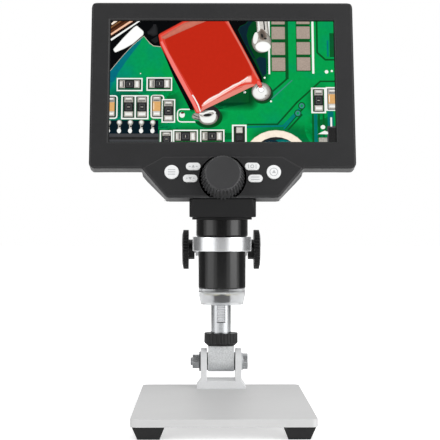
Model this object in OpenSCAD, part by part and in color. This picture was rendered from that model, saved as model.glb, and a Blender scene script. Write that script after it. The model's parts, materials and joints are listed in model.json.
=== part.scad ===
// Desk microscope with a large screen head, a rack post and a hinged metal base.
// Millimetres. +X is the viewer's right, +Y runs away from the viewer and +Z is up.
// The origin is the middle of the footprint, on the table.

/* [Base] */
// Width of the base plate
plate_w = 118; // [100:1:150]
// Depth of the base plate
plate_d = 170; // [150:1:200]
// Thickness of the base plate
plate_t = 5; // [4:0.5:8]
// Corner radius of the base plate
plate_r = 4; // [2:0.5:8]
// Height of a rubber foot
foot_h = 8.4; // [5.5:0.1:12]
// Width of a foot at the plate
foot_w = 20.6; // [16:0.1:24]
// Width of a foot on the table
foot_low_w = 14; // [10:0.1:15.5]
// Distance from the plate's edges to a foot
foot_inset = 1.2; // [1:0.1:6]

/* [Hinge] */
// Distance from the plate's back edge to the post's axis
post_inset = 13; // [12.8:0.1:18]
// Height of the hinge bolt's axis above the plate
hinge_h = 19; // [17.5:0.5:26]
// Thickness of the bracket's foot
bracket_t = 5.5; // [4.5:0.5:7]
// Depth of the bracket's foot, front to back
bracket_d = 25; // [22:0.5:25]
// How far the bracket's foot flares past each ear
bracket_flare = 3.1; // [1:0.1:5]
// Thickness of a bracket ear
ear_t = 4.6; // [3:0.1:6]
// Radius of the ears round the bolt
ear_r = 10; // [8.8:0.1:11]
// Width of the hinge block between its washers
block_w = 19.5; // [18:0.5:24]
// Radius of the hinge block round the bolt
block_r = 7.6; // [7:0.1:8.4]
// Height of the hinge block above the bolt's axis
block_h = 12; // [10.5:0.5:16]
// Radius of the hinge bolt
bolt_r = 3; // [2.5:0.1:3.5]
// Radius of the bolt's head
bolt_head_r = 6; // [5:0.1:7]
// Thickness of the bolt's head
bolt_head_t = 3.6; // [3:0.1:5]
// Width of the hexagon socket in the bolt's head
bolt_socket_w = 5; // [4:0.5:6]
// Width of the nut across its flats
nut_w = 10; // [9:0.5:12]
// Thickness of the nut
nut_t = 5; // [3:0.5:6]
// Thickness of a friction washer
friction_t = 0.7; // [0.5:0.1:1.2]
// Radius of a friction washer
friction_r = 6.7; // [5.5:0.1:7]

/* [Post] */
// Radius of the post
post_r = 7.5; // [7:0.1:9]
// Length of the post above the hinge block
post_l = 147; // [145:1:170]
// Radius of the lock ring
lock_r = 12.5; // [10.5:0.1:14]
// Height of the lock ring
lock_h = 9.3; // [6:0.1:11]
// Module of the height rack and its pinion
rack_m = 0.6; // [0.5:0.05:0.65]
// Width of the toothed strip
rack_w = 6; // [5:0.1:6]
// Teeth on the height pinion
pinion_n = 12; // [12:1:13]
// Teeth of the strip below the pinion at rest
rack_low_n = 29; // [27:1:29]
// Teeth of the strip above the pinion at rest
rack_high_n = 31; // [29:1:33]

/* [Carriage] */
// Height of the ring's underside above the plate
ring_h = 103; // [100:1:108]
// Thickness of the ring
ring_t = 10; // [8:0.5:12]
// Outer radius of the ring
ring_r = 20.6; // [19.5:0.1:23]
// Distance from the post's axis to the tube's axis
reach = 58; // [54:1:66]
// Radius of the sleeve on the post
sleeve_r = 12; // [11:0.1:13]
// How far the sleeve reaches below the ring
sleeve_low = 10; // [8:0.5:12]
// How far the sleeve rises above the ring
sleeve_high = 3; // [1:0.5:6]
// Width of the arm between ring and sleeve
arm_w = 16; // [10:0.5:22]
// Radius of the pinion shaft
shaft_r = 4.2; // [4.1:0.05:4.6]
// Radius of the bosses round the pinion shaft
boss_r = 5.4; // [5.2:0.1:6.5]
// Half the width over the bosses
boss_x = 19; // [16:0.5:21]
// Radius of a side knob
side_knob_r = 14.5; // [12:0.1:17]
// Thickness of a side knob's disc
side_knob_t = 4.8; // [4:0.1:7]
// Radius of a side knob's hub
hub_r = 7.4; // [5:0.1:8]
// Length of a side knob's hub
hub_l = 4.35; // [3:0.05:6]

/* [Tube] */
// Radius of the tube below the ring
tube_r = 16.7; // [16:0.1:17.5]
// Bore of the tube
tube_bore_r = 14.7; // [14.3:0.1:14.9]
// Radius of the tube above the ring
tube_top_r = 18.15; // [17.8:0.05:19.3]
// Length of the tube below the ring's top
tube_low = 36.1; // [32:0.1:40]
// Length of the tube above the ring's top
tube_high = 12; // [9:0.5:16]
// Height of the diffuser cap
cap_h = 11.3; // [9:0.1:13]
// Height of the cap's straight band
cap_band = 4; // [3:0.1:5]
// Radius of the cap's lower rim
cap_low_r = 14.8; // [14.2:0.1:15.8]
// Radius of the collar under the neck
collar_r = 21; // [19.5:0.1:22]
// Thickness of the collar
collar_t = 1.7; // [1:0.1:3]
// Radius of the lens barrel at its lower end
barrel_r = 5.85; // [4.5:0.05:7]

/* [Neck] */
// Width of the neck
neck_w = 45; // [44:0.5:50]
// Height of the neck's front below the chin
neck_h = 12.9; // [10:0.1:18]
// Distance from the tube's axis to the neck's front
neck_front = 38.4; // [36:0.1:39.5]
// How far the foot of the neck's front lies back
neck_slant = 3; // [0:0.5:6]
// Chamfer of the neck's front corners
neck_chamfer = 2.8; // [1:0.1:5]

/* [Screen head] */
// Distance from the tube's axis forward to the chin's lower edge
chin_front = 39.9; // [39:0.1:42]
// Lean of the screen from the vertical, in degrees
lean = 12; // [9:1:14]
// Depth of the housing's rim
rim_d = 12; // [11.6:0.1:14]
// Depth of the rear cover behind the rim
cover_d = 12; // [11:0.5:16]
// How far the rear cover draws in on each side
cover_draw = 8; // [5:0.5:12]
// Corner radius of the housing
head_r = 4; // [3:0.5:8]
// Wall thickness of the housing
wall = 2; // [1.6:0.1:2.4]
// Thickness of the housing's front face
face_t = 2.2; // [1.8:0.1:2.6]
// Width of the window
window_w = 155; // [140:1:176]
// Height of the window
window_h = 87.2; // [78:0.2:100]
// Width of the margins beside the window
margin_side = 13; // [11:0.5:16]
// Height of the margin under the window
margin_low = 18.7; // [16:0.1:20]
// Height of the margin over the window
margin_high = 12.9; // [12:0.1:16]
// Vent slots in each group on the rear cover
vent_n = 6; // [3:1:8]
// Length of a vent slot
vent_l = 22; // [14:1:30]
// Distance of the vent groups from the middle
vent_x = 50; // [44:1:54]
// Height of the chin
chin_h = 20.6; // [19:0.1:26]
// Width of the chin at the housing
chin_w = 110; // [106:1:124]
// Width of the chin at its lower edge
chin_low_w = 75.5; // [72:0.5:90]
// How far the chin's key panel stands out
panel_t = 1; // [0.6:0.1:1.6]
// Width of the key panel's upper edge
panel_w = 81; // [79:1:96]
// Height of the key panel's upper edge above the chin
panel_up = 8.5; // [7.5:0.1:11]

/* [Focus knob and keys] */
// Height of the focus knob's axis above the chin's lower edge
knob_up = 13.7; // [12.5:0.1:14.5]
// Radius of the focus knob at its foot
knob_r = 15; // [13:0.1:15.5]
// Radius of the focus knob's face
knob_face_r = 12.2; // [8:0.1:13]
// Height of the focus knob
knob_h = 14; // [9:0.5:20]
// Ribs round the focus knob
knob_ribs = 36; // [24:1:48]
// Radius of the focus shaft
focus_r = 2.5; // [2:0.1:2.8]
// Radius of a round key
round_key_r = 4.85; // [4:0.05:5]
// Distance of the round keys from the middle
round_key_x = 34.4; // [34:0.1:35]
// Height of the round keys above the chin's lower edge
round_key_up = 17.5; // [16.5:0.1:18.5]
// Length of an oblong key
oblong_l = 9.9; // [8:0.1:10]
// Height of an oblong key
oblong_h = 5.2; // [4:0.1:5.4]
// Distance of the upper oblong keys from the middle
upper_key_x = 19.9; // [19.8:0.1:21]
// Height of the upper oblong keys above the chin's lower edge
upper_key_up = 21.4; // [21.2:0.1:22]
// Distance of the lower oblong keys from the middle
lower_key_x = 21.9; // [21.6:0.1:22.2]
// Height of the lower oblong keys above the chin's lower edge
lower_key_up = 13.1; // [12.4:0.1:13.4]
// How far the keys stand out of their panel
key_out = 0.8; // [0.6:0.1:1.4]
// Travel of a key
key_travel = 0.5; // [0.3:0.05:0.6]

/* [Hidden] */
$fn = 64;
running = 0.05;     // radial clearance of a shaft in its bore
seat = 0.1;         // gap between flat faces that slide on each other
key_gap = 0.2;      // gap round a key in its hole
cut = 1;            // how far a cutting solid runs past the surface it cuts
lap = 0.01;         // how far two cutting solids run into each other
chamfer = 1.2;      // bevel of the housing's front edges
small_chamfer = 0.6;
pressure = 25;      // pressure angle of the teeth, in degrees
backlash = 0.08;    // play between meshing teeth
dedendum = 1.25;    // depth of a tooth below its pitch line, in modules

// Heights and depths that the sizes above give
plate_top = foot_h + plate_t;
post_y = plate_d / 2 - post_inset;
hinge_z = plate_top + hinge_h;
block_top = hinge_z + block_h;
ear_in = block_w / 2 + seat + friction_t;
ear_out = ear_in + ear_t;
washer_t = 1.2;
washer_r = 7.35;
bolt_tail = 1.5;
bore_r = bolt_r + running;
foot_x = plate_w / 2 - foot_inset - foot_w / 2;
foot_y = plate_d / 2 - foot_inset - foot_w / 2;
foot_screw_r = 1.6;
foot_screw_head_r = 3;
foot_screw_head_t = 2;
foot_screw_in = plate_t - 1;
bracket_screw_r = 2;
bracket_screw_head_r = 4;
bracket_screw_gap = 7.5;
bracket_screw_in = bracket_t - 1;

tube_y = post_y - reach;
ring_z = plate_top + ring_h;
ring_top = ring_z + ring_t;
sleeve_z = ring_z - sleeve_low;
sleeve_top = ring_top + sleeve_high;
sleeve_bore_r = post_r + running;

// Height rack: its tips lie just inside the post's outline
rack_pitch = PI * rack_m;
tip_y = post_y - sqrt(pow(post_r - running, 2) - pow(rack_w / 2, 2));
rack_line_y = tip_y + rack_m;
rack_back_y = rack_line_y + dedendum * rack_m + 2.2;
pinion_pitch_r = pinion_n * rack_m / 2;
pinion_y = rack_line_y - pinion_pitch_r;
pinion_z = ring_z;
rack_z0 = pinion_z - rack_low_n * rack_pitch;
rack_z1 = pinion_z + rack_high_n * rack_pitch;
pinion_w = rack_w - 0.6;
relief_r = pinion_pitch_r - rack_m - 0.45;
relief_x = sqrt(pow(post_r, 2) - pow(post_y - pinion_y - shaft_r, 2)) + 0.4;
knob_shaft_r = 2.5;
hub_x = boss_x + 0.65;
disc_x = hub_x + hub_l;
lens_rise = 4;
spigot_r = 5;
spigot_l = 6.7;

// Tube, cap and lens
shoulder_z = ring_top + seat;
tube_z0 = ring_top - tube_low;
tube_z1 = ring_top + tube_high;
tube_spigot = 6;
cap_z0 = tube_z0 - cap_h;
cap_wall = 1.8;
cap_spigot = 4;
cap_spigot_t = 2.2;
cap_ledge = 2.4;
led_t = 1.2;
led_n = 8;
led_w = 3.4;
led_r = 10.4;
led_hole_r = 7.6;
barrel_top_r = 5;
barrel_z0 = cap_z0 + 1.3;
barrel_l = 18;
holder_r = tube_bore_r - running;
holder_l = 22;
holder_z0 = barrel_z0 + barrel_l;
holder_bore_r = 7;
sensor_w = 17;
sensor_t = 1.6;

// Screen head: depths run back from the face, heights up from the chin's lower edge
neck_z = tube_z1 + collar_t;
chin_z = neck_z + neck_h;
chin_y = tube_y - chin_front;
head_w = window_w + 2 * margin_side;
head_h = margin_low + window_h + margin_high;
head_top = chin_h + head_h;
head_d = rim_d + cover_d;
window_z = chin_h + margin_low;
lip = 1.2;
glass_t = 1.1;
glass_rim = 3;
lcd_rim = margin_side - wall - 6;
lcd_t = 4.6;
glass_d = face_t;
lcd_d = glass_d + glass_t;
lcd_back = lcd_d + lcd_t;
board_t = 1.6;
board_gap = 3;
board_d = lcd_back + board_gap;
board_side = 18;
board_edge = 11;
board_w = window_w - 2 * board_side;
board_h = window_h - 2 * board_edge;
board_right = head_w / 2 - wall - 1.2;
board_z = window_z + window_h / 2;
stud_side = 15;
stud_edge = 7;
stud_x = board_w / 2 - stud_side;
stud_z = board_h / 2 - stud_edge;
socket_d = board_d - 2.8;
vent_w = 1.6;
vent_pitch = 4;
vent_up = window_z + 6;
usb_w = 7.6;
usb_up = 12;
card_w = 12;
card_t = 1.5;
card_up = -14;
battery_side = 18;
battery_edge = 8;
battery_w = board_w - 2 * battery_side;
battery_h = board_h - 2 * battery_edge;
battery_t = 5;
screw_x = window_w / 2 - 8;
screw_low = chin_h + wall + 4.5;
screw_high = head_top - wall - 2.7;
screw_r = 1.2;
screw_head_r = 2.2;
screw_head_t = 1.4;
screw_post_r = 2.4;
screw_seat_d = rim_d + 2;
lcd_rim_h = margin_high - wall - 3.4 - screw_post_r;

// Keys
key_back = face_t + 1.2;
flange = 0.8;
flange_t = 0.9;
switch_t = 1.4;
switch_w = 3;
keyboard_d = key_back + key_travel + 0.1 + switch_t;
keyboard_t = 1.2;
keyboard_w = chin_low_w + 2.5;
keyboard_low = 5;
keyboard_high = 25.5;
peg_x = 29.5;
peg_up = 8.6;
peg_r = 1.5;

// Focus drive: a spur pinion on the knob's shaft and an upright rack with slanted teeth
focus_m = 0.5;
focus_n = 14;
focus_pitch = PI * focus_m;
focus_pitch_r = focus_n * focus_m / 2;
focus_rack_y = tube_y - 9;
focus_rack_w = 6;
focus_rack_t = 2.2;
focus_d = (focus_rack_y - chin_y - knob_up * sin(lean)) / cos(lean);
focus_z = chin_z + knob_up * cos(lean) - focus_d * sin(lean);
focus_pinion_l = 8;
focus_travel_n = 9;
focus_rack_low = focus_z - (focus_travel_n + 3) * focus_pitch / cos(lean);
focus_rack_high = focus_z + 3 * focus_pitch / cos(lean);
focus_boss_r = 5;
knob_gap = 0.4;
recess_r = knob_r + 1;
knob_bore = 9;

// The hump that joins the neck to the rear cover, clear of the raised rack
hump_z = focus_rack_high + focus_travel_n * focus_pitch / cos(lean) + wall + 2;
hump_y = focus_rack_y + focus_rack_w / 2 + wall + 2;
neck_back_h = 9;
neck_back_z = chin_z + neck_back_h;
neck_floor = 3;     // thickness of the neck's floor round the tube
neck_lip = 1;       // height of the neck's upright edge under the chin
neck_wrap = 4;      // how far the uncut neck runs up behind the chin
hump_over = 6;      // how far the uncut hump runs into the cover

// ---- Shared shapes -------------------------------------------------------------------------

// A rectangle's corners, with its middle at the origin
function rect(w, h) = [[-w / 2, -h / 2], [w / 2, -h / 2], [w / 2, h / 2], [-w / 2, h / 2]];

// Points of an arc
function arc(centre, r, from, to, n) =
    [for (i = [0:n]) centre + r * [cos(from + (to - from) * i / n), sin(from + (to - from) * i / n)]];

// One corner of an outline, rounded between its neighbours
function corner(before, at, after, r, n) = let(
    u = (before - at) / norm(before - at),
    v = (after - at) / norm(after - at),
    half = acos(u * v) / 2,
    middle = at + (u + v) / norm(u + v) * r / sin(half),
    start = at + u * r / tan(half) - middle,
    end = at + v * r / tan(half) - middle,
    from = atan2(start.y, start.x),
    turn = atan2(end.y, end.x) - from)
    arc(middle, r, from, from + (turn > 180 ? turn - 360 : turn < -180 ? turn + 360 : turn), n);

// An outline with its corners rounded, each to its own radius
function rounded(points, radii, n = 5) = let(count = len(points)) [for (i = [0:count - 1])
    each corner(points[(i + count - 1) % count], points[i], points[(i + 1) % count], radii[i], n)];

function same(r, count = 4) = [for (i = [1:count]) r];

// The outline of a disc with grip ribs
function ribbed(r, depth, n) = [for (i = [0:n - 1]) each [for (p = [[0, r - depth], [0.3, r - depth],
    [0.5, r], [0.8, r]]) p[1] * [cos((i + p[0]) * 360 / n), sin((i + p[0]) * 360 / n)]]];

// Angle between a gear flank's start and the point where it reaches radius r
function flank(r, base) = r <= base ? 0 : sqrt(pow(r / base, 2) - 1) * 180 / PI - acos(base / r);

// Outline of an involute gear, one tooth pointing along +X
function gear(m, n) = let(
    pitch_r = m * n / 2,
    base = pitch_r * cos(pressure),
    root = pitch_r - dedendum * m,
    tip = pitch_r + m,
    half = 90 / n - backlash / 2 / pitch_r * 180 / PI + flank(pitch_r, base),
    radii = [root, base, base + (tip - base) * 0.35, base + (tip - base) * 0.7, tip])
    [for (i = [0:n - 1]) each concat(
        [for (r = radii) r * [cos(i * 360 / n - half + flank(r, base)), sin(i * 360 / n - half + flank(r, base))]],
        [for (k = [4:-1:0]) let(r = radii[k])
            r * [cos(i * 360 / n + half - flank(r, base)), sin(i * 360 / n + half - flank(r, base))]])];

// Outline of a rack: teeth point along -Y from a pitch line at y = 0, x runs from 0 over n pitches,
// and the first and last teeth have half a gap outside them
function rack(m, n, back) = let(
    p = PI * m,
    at_tip = p / 4 - m * tan(pressure) - backlash / 4,
    at_root = p / 4 + dedendum * m * tan(pressure) - backlash / 4)
    concat([[0, back], [0, dedendum * m]],
        [for (i = [0:n - 1]) each let(c = (i + 0.5) * p) [[c - at_root, dedendum * m],
            [c - at_tip, -m], [c + at_tip, -m], [c + at_root, dedendum * m]]],
        [[n * p, dedendum * m], [n * p, back]]);

// A block whose size changes evenly from low to high over the height t
module tapered(low, high, t) {
    intersection() {
        rotate([90, 0, 0]) linear_extrude(max(low.y, high.y), center = true)
            polygon([[-low.x / 2, 0], [low.x / 2, 0], [high.x / 2, t], [-high.x / 2, t]]);
        rotate([90, 0, 90]) linear_extrude(max(low.x, high.x), center = true)
            polygon([[-low.y / 2, 0], [low.y / 2, 0], [high.y / 2, t], [-high.y / 2, t]]);
    }
}

// A cylinder along X from x0 to x1, at the given depth and height
module rod(x0, x1, r, y, z) {
    translate([x0, y, z]) rotate([0, 90, 0]) cylinder(h = x1 - x0, r = r);
}

// A side outline in depth and height, extruded across X
module across(w) {
    rotate([90, 0, 90]) linear_extrude(w, center = true) children();
}

// The screen head's own frame: y runs back from the face and z up the face from the chin
module in_head() {
    translate([0, chin_y, chin_z]) rotate([-lean, 0, 0]) children();
}

// An outline on the face, extruded from one depth to another
module between(d0, d1) {
    translate([0, d1, 0]) rotate([90, 0, 0]) linear_extrude(d1 - d0) children();
}

// A cylinder square to the face
module face_rod(x, up, r, d0, d1) {
    translate([x, d0, up]) rotate([-90, 0, 0]) cylinder(h = d1 - d0, r = r);
}

// A bevel cut along one edge of an outline that runs anticlockwise on the face
module bevel(p, q, size, d = 0) {
    translate([p.x, d, p.y]) rotate([0, -atan2(q.y - p.y, q.x - p.x), 0]) rotate([90, 0, 90])
        linear_extrude(norm(q - p)) polygon([[-cut, -cut], [size + cut, -cut], [-cut, size + cut]]);
}

// ---- Base ----------------------------------------------------------------------------------

module base_plate() {
    color("gainsboro") difference() {
        translate([0, 0, foot_h]) linear_extrude(plate_t)
            polygon(rounded(rect(plate_w, plate_d), same(plate_r)));
        for (x = [-foot_x, foot_x], y = [-foot_y, foot_y])
            translate([x, y, foot_h - cut]) cylinder(h = cut + foot_screw_in, r = foot_screw_r + running);
        for (s = [-1, 1]) translate([0, post_y + s * bracket_screw_gap, foot_h]) {
            translate([0, 0, -cut]) cylinder(h = plate_t + 2 * cut, r = bracket_screw_r + running);
            translate([0, 0, -cut]) cylinder(h = cut + bracket_screw_head_r - bracket_screw_r,
                r1 = bracket_screw_head_r + cut + running, r2 = bracket_screw_r + running);
        }
    }
}

// One tapered rubber foot with the well of its screw
module foot(x, y) {
    color("#1c1c1e") translate([x, y, 0]) difference() {
        tapered([foot_low_w, foot_low_w], [foot_w, foot_w], foot_h);
        translate([0, 0, -cut]) cylinder(h = foot_h + 2 * cut, r = foot_screw_r + running);
        translate([0, 0, -cut])
            cylinder(h = cut + foot_h - 3, r = foot_screw_head_r + running);
    }
}
module foot_front_left() { foot(-foot_x, -foot_y); }
module foot_front_right() { foot(foot_x, -foot_y); }
module foot_back_left() { foot(-foot_x, foot_y); }
module foot_back_right() { foot(foot_x, foot_y); }

module foot_screws() {
    color("silver") for (x = [-foot_x, foot_x], y = [-foot_y, foot_y]) translate([x, y, foot_h - 3]) {
        cylinder(h = 3 + foot_screw_in, r = foot_screw_r);
        translate([0, 0, -foot_screw_head_t]) cylinder(h = foot_screw_head_t, r = foot_screw_head_r);
    }
}

// Side outline of a bracket ear: a round eye on a foot that widens downwards
module ear_outline() {
    translate([post_y, hinge_z]) circle(r = ear_r);
    polygon([[post_y - bracket_d / 2, plate_top], [post_y + bracket_d / 2, plate_top],
        [post_y + bracket_d / 2, plate_top + bracket_t], [post_y + ear_r, hinge_z],
        [post_y - ear_r, hinge_z], [post_y - bracket_d / 2, plate_top + bracket_t]]);
}

module hinge_bracket() {
    color("#d7dadb") difference() {
        union() {
            for (s = [-1, 1]) translate([s * (ear_in + ear_t / 2), 0, 0]) across(ear_t) ear_outline();
            translate([0, post_y, 0]) rotate([90, 0, 0]) linear_extrude(bracket_d, center = true)
                polygon([[-ear_out - bracket_flare, plate_top], [ear_out + bracket_flare, plate_top],
                    [ear_out + bracket_flare, plate_top + 1.2], [ear_out, plate_top + bracket_t],
                    [-ear_out, plate_top + bracket_t], [-ear_out - bracket_flare, plate_top + 1.2]]);
        }
        rod(-ear_out - cut, ear_out + cut, bore_r, post_y, hinge_z);
        for (s = [-1, 1]) translate([0, post_y + s * bracket_screw_gap, plate_top - cut])
            cylinder(h = cut + bracket_screw_in, r = bracket_screw_r + running);
    }
}

module bracket_screws() {
    color("silver") for (s = [-1, 1]) translate([0, post_y + s * bracket_screw_gap, foot_h]) {
        cylinder(h = plate_t + bracket_screw_in, r = bracket_screw_r);
        cylinder(h = bracket_screw_head_r - bracket_screw_r, r1 = bracket_screw_head_r, r2 = bracket_screw_r);
    }
}

module hinge_bolt() {
    head_x = ear_out + washer_t;
    color("#7c7f82") difference() {
        union() {
            rod(-ear_out - washer_t - nut_t - bolt_tail, head_x + cut, bolt_r, post_y, hinge_z);
            rod(head_x, head_x + bolt_head_t, bolt_head_r, post_y, hinge_z);
        }
        translate([head_x + bolt_head_t * 0.35, post_y, hinge_z]) rotate([0, 90, 0])
            cylinder(h = bolt_head_t, r = bolt_socket_w / 2 / cos(30), $fn = 6);
    }
}

module hinge_nut() {
    color("#8d9093") difference() {
        translate([-ear_out - washer_t - nut_t, post_y, hinge_z]) rotate([0, 90, 0]) rotate([0, 0, 30])
            cylinder(h = nut_t, r = nut_w / 2 / cos(30), $fn = 6);
        rod(-ear_out - washer_t - nut_t - cut, -ear_out, bore_r, post_y, hinge_z);
    }
}

// A flat ring on the hinge bolt from x0 to x1
module bolt_ring(x0, x1, r) {
    difference() {
        rod(x0, x1, r, post_y, hinge_z);
        rod(x0 - cut, x1 + cut, bore_r, post_y, hinge_z);
    }
}
module washer_left() { color("#3c3e40") bolt_ring(-ear_out - washer_t, -ear_out, washer_r); }
module washer_right() { color("#a5a8aa") bolt_ring(ear_out, ear_out + washer_t, washer_r - 0.8); }
module friction_washer_left() { color("#222222") bolt_ring(-ear_in, -ear_in + friction_t, friction_r); }
module friction_washer_right() { color("#222222") bolt_ring(ear_in - friction_t, ear_in, friction_r); }

// ---- Hinge block, post and lock ring -------------------------------------------------------

module hinge_block() {
    color("#b9bcbd") difference() {
        across(block_w) {
            translate([post_y, hinge_z]) circle(r = block_r);
            translate([post_y - block_r, hinge_z]) square([2 * block_r, block_h]);
        }
        rod(-block_w, block_w, bore_r, post_y, hinge_z);
        translate([0, post_y, block_top - spigot_l - 0.3])
            cylinder(h = spigot_l + cut, r = spigot_r + running);
    }
}

module rack_post() {
    color("silver") difference() {
        translate([0, post_y, 0]) rotate_extrude() polygon([[0, block_top - spigot_l],
            [spigot_r, block_top - spigot_l], [spigot_r, block_top + seat], [post_r, block_top + seat],
            [post_r, block_top + post_l - 1], [post_r - 1, block_top + post_l], [0, block_top + post_l]]);
        translate([-rack_w / 2, post_y - post_r - cut, rack_z0])
            cube([rack_w, rack_back_y - post_y + post_r + cut, rack_z1 - rack_z0]);
    }
}

// The toothed strip in the post's keyway
module post_rack() {
    color("#c4c6c8") translate([rack_w / 2, rack_line_y, rack_z0]) rotate([0, -90, 0])
        linear_extrude(rack_w) polygon(rack(rack_m, rack_low_n + rack_high_n, rack_back_y - rack_line_y));
}

module lock_ring() {
    low = block_top + 2 * seat;
    color("#1a1a1b") difference() {
        intersection() {
            translate([0, post_y, low]) linear_extrude(lock_h) polygon(ribbed(lock_r, 0.5, 30));
            translate([0, post_y, low]) cylinder(h = lock_h, r1 = lock_r - 2, r2 = lock_r - 2 + lock_h);
        }
        translate([0, post_y, low - cut]) cylinder(h = lock_h + 2 * cut, r = sleeve_bore_r);
    }
}

// ---- Carriage and height drive -------------------------------------------------------------

module carriage() {
    color("#dfe1e2") difference() {
        union() {
            translate([0, tube_y, ring_z]) cylinder(h = ring_t, r = ring_r, $fn = 96);
            translate([-arm_w / 2, tube_y + tube_r, ring_z]) cube([arm_w, reach - tube_r, ring_t]);
            translate([0, post_y, sleeve_z]) cylinder(h = sleeve_top - sleeve_z, r = sleeve_r);
            rod(-boss_x, boss_x, boss_r, pinion_y, pinion_z);
            rod(-arm_w / 2 - 2, arm_w / 2 + 2, boss_r + 1.2, pinion_y, pinion_z);
        }
        translate([0, tube_y, ring_z - cut]) cylinder(h = ring_t + 2 * cut, r = tube_r + seat, $fn = 96);
        translate([0, post_y, sleeve_z - cut])
            cylinder(h = sleeve_top - sleeve_z + 2 * cut, r = sleeve_bore_r);
        rod(-boss_x - cut, boss_x + cut, shaft_r + running, pinion_y, pinion_z);
        translate([0, post_y, (sleeve_z + sleeve_top) / 2]) rotate([-90, 0, 0])
            cylinder(h = sleeve_r + cut, r = screw_r + 0.8 + running);
    }
}

// The grub screw that sets the sleeve's drag on the post
module tension_screw() {
    color("#55585a") translate([0, post_y + post_r + 0.2, (sleeve_z + sleeve_top) / 2]) rotate([-90, 0, 0])
        difference() {
            cylinder(h = sleeve_r - post_r - 0.6, r = screw_r + 0.8);
            translate([0, 0, sleeve_r - post_r - 2]) cylinder(h = 2, r = 1, $fn = 6);
        }
}

// A shaft with the pinion's teeth cut into it, relieved beside them to clear the post
module pinion_shaft() {
    color("#8a8d90") {
        translate([-pinion_w / 2, pinion_y, pinion_z]) rotate([0, 90, 0])
            linear_extrude(pinion_w) rotate(90) polygon(gear(rack_m, pinion_n));
        for (s = [0, 1]) mirror([s, 0, 0]) {
            rod(pinion_w / 2 - cut, relief_x + cut, relief_r, pinion_y, pinion_z);
            rod(relief_x, boss_x, shaft_r, pinion_y, pinion_z);
            rod(boss_x - cut, disc_x + side_knob_t - 2, knob_shaft_r, pinion_y, pinion_z);
        }
    }
}

// A ribbed disc with a domed face and a hub, on the end of the pinion shaft
module side_knob() {
    dome = 0.8;
    color("#1d1d1e") translate([0, pinion_y, pinion_z]) rotate([0, 90, 0]) difference() {
        union() {
            translate([0, 0, hub_x]) cylinder(h = hub_l + cut, r = hub_r);
            translate([0, 0, disc_x]) linear_extrude(side_knob_t - dome) polygon(ribbed(side_knob_r, 0.5, 40));
            translate([0, 0, disc_x + side_knob_t - dome])
                cylinder(h = dome, r1 = side_knob_r - 0.5, r2 = side_knob_r - 3.5);
        }
        translate([0, 0, hub_x - cut])
            cylinder(h = hub_l + side_knob_t - 2 + cut + 0.2, r = knob_shaft_r + running);
    }
}
module side_knob_right() { side_knob(); }
module side_knob_left() { mirror([1, 0, 0]) side_knob(); }

// ---- Tube, cap and lights ------------------------------------------------------------------

module outer_tube() {
    color("#161617") translate([0, tube_y, 0]) rotate_extrude($fn = 96) polygon([
        [tube_bore_r, tube_z0], [tube_r - 0.4, tube_z0], [tube_r, tube_z0 + 0.4], [tube_r, shoulder_z],
        [tube_top_r - 0.8, shoulder_z], [tube_top_r, shoulder_z + 0.8], [tube_top_r, tube_z1],
        [tube_r, tube_z1], [tube_r, tube_z1 + collar_t + tube_spigot],
        [tube_bore_r, tube_z1 + collar_t + tube_spigot]]);
}

// A frosted cup with a spigot in the tube and a ledge for the lights
module diffuser_cap() {
    spigot_out = tube_bore_r - running;
    ledge_z = tube_z0 - cap_ledge;
    color("#e9eef0", 0.6) translate([0, tube_y, 0]) rotate_extrude($fn = 96) polygon([
        [cap_low_r - cap_wall, cap_z0], [cap_low_r, cap_z0], [tube_r - 0.2, tube_z0 - cap_band],
        [tube_r - 0.2, tube_z0], [spigot_out, tube_z0], [spigot_out, tube_z0 + cap_spigot],
        [spigot_out - cap_spigot_t, tube_z0 + cap_spigot], [spigot_out - cap_spigot_t, ledge_z],
        [tube_r - 0.2 - cap_wall, ledge_z], [tube_r - 0.2 - cap_wall, tube_z0 - cap_band]]);
}

module led_board() {
    color("#e8e8e0") translate([0, tube_y, tube_z0 - cap_ledge - led_t]) difference() {
        cylinder(h = led_t, r = tube_r - 0.2 - cap_wall - running);
        translate([0, 0, -cut]) cylinder(h = led_t + 2 * cut, r = led_hole_r);
    }
}

module leds() {
    color("#fff6c8") for (i = [0:led_n - 1]) translate([0, tube_y, tube_z0 - cap_ledge - led_t - 1])
        rotate((i + 0.5) * 360 / led_n) translate([led_r - led_w / 2, -led_w / 2, 0])
            cube([led_w, led_w, 1]);
}

module collar() {
    color("#1b1b1c") translate([0, tube_y, tube_z1]) difference() {
        cylinder(h = collar_t, r = collar_r, $fn = 96);
        translate([0, 0, -cut]) cylinder(h = collar_t + 2 * cut, r = tube_r + running, $fn = 96);
    }
}

// ---- Neck and screen housing ---------------------------------------------------------------

// The neck's outer form drawn in by an inset: a plan that is square in front and round behind,
// under a side outline that slopes from the rear cover down to the tube
module neck_form(inset, floor_z) {
    front = tube_y - neck_front + inset;
    half = neck_w / 2 - inset;
    side = neck_chamfer - inset * (2 - sqrt(2));
    intersection() {
        translate([0, 0, floor_z]) linear_extrude(hump_z + hump_over + cut - floor_z) polygon(concat(
            [[half, front + side], [half, tube_y]], arc([0, tube_y], half, 7.5, 172.5, 22),
            [[-half, tube_y], [-half, front + side], [side - half, front], [half - side, front]]));
        across(neck_w + 2 * cut) polygon([[front + neck_slant, neck_z - cut], [front, chin_z - neck_lip],
            [front, chin_z + neck_wrap],
            [chin_y + (hump_z - chin_z) * sin(lean) + hump_over, hump_z + hump_over - inset],
            [hump_y - inset, hump_z - inset], [tube_y + half, neck_back_z - inset],
            [tube_y + half, neck_z - cut]]);
    }
}

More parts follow.
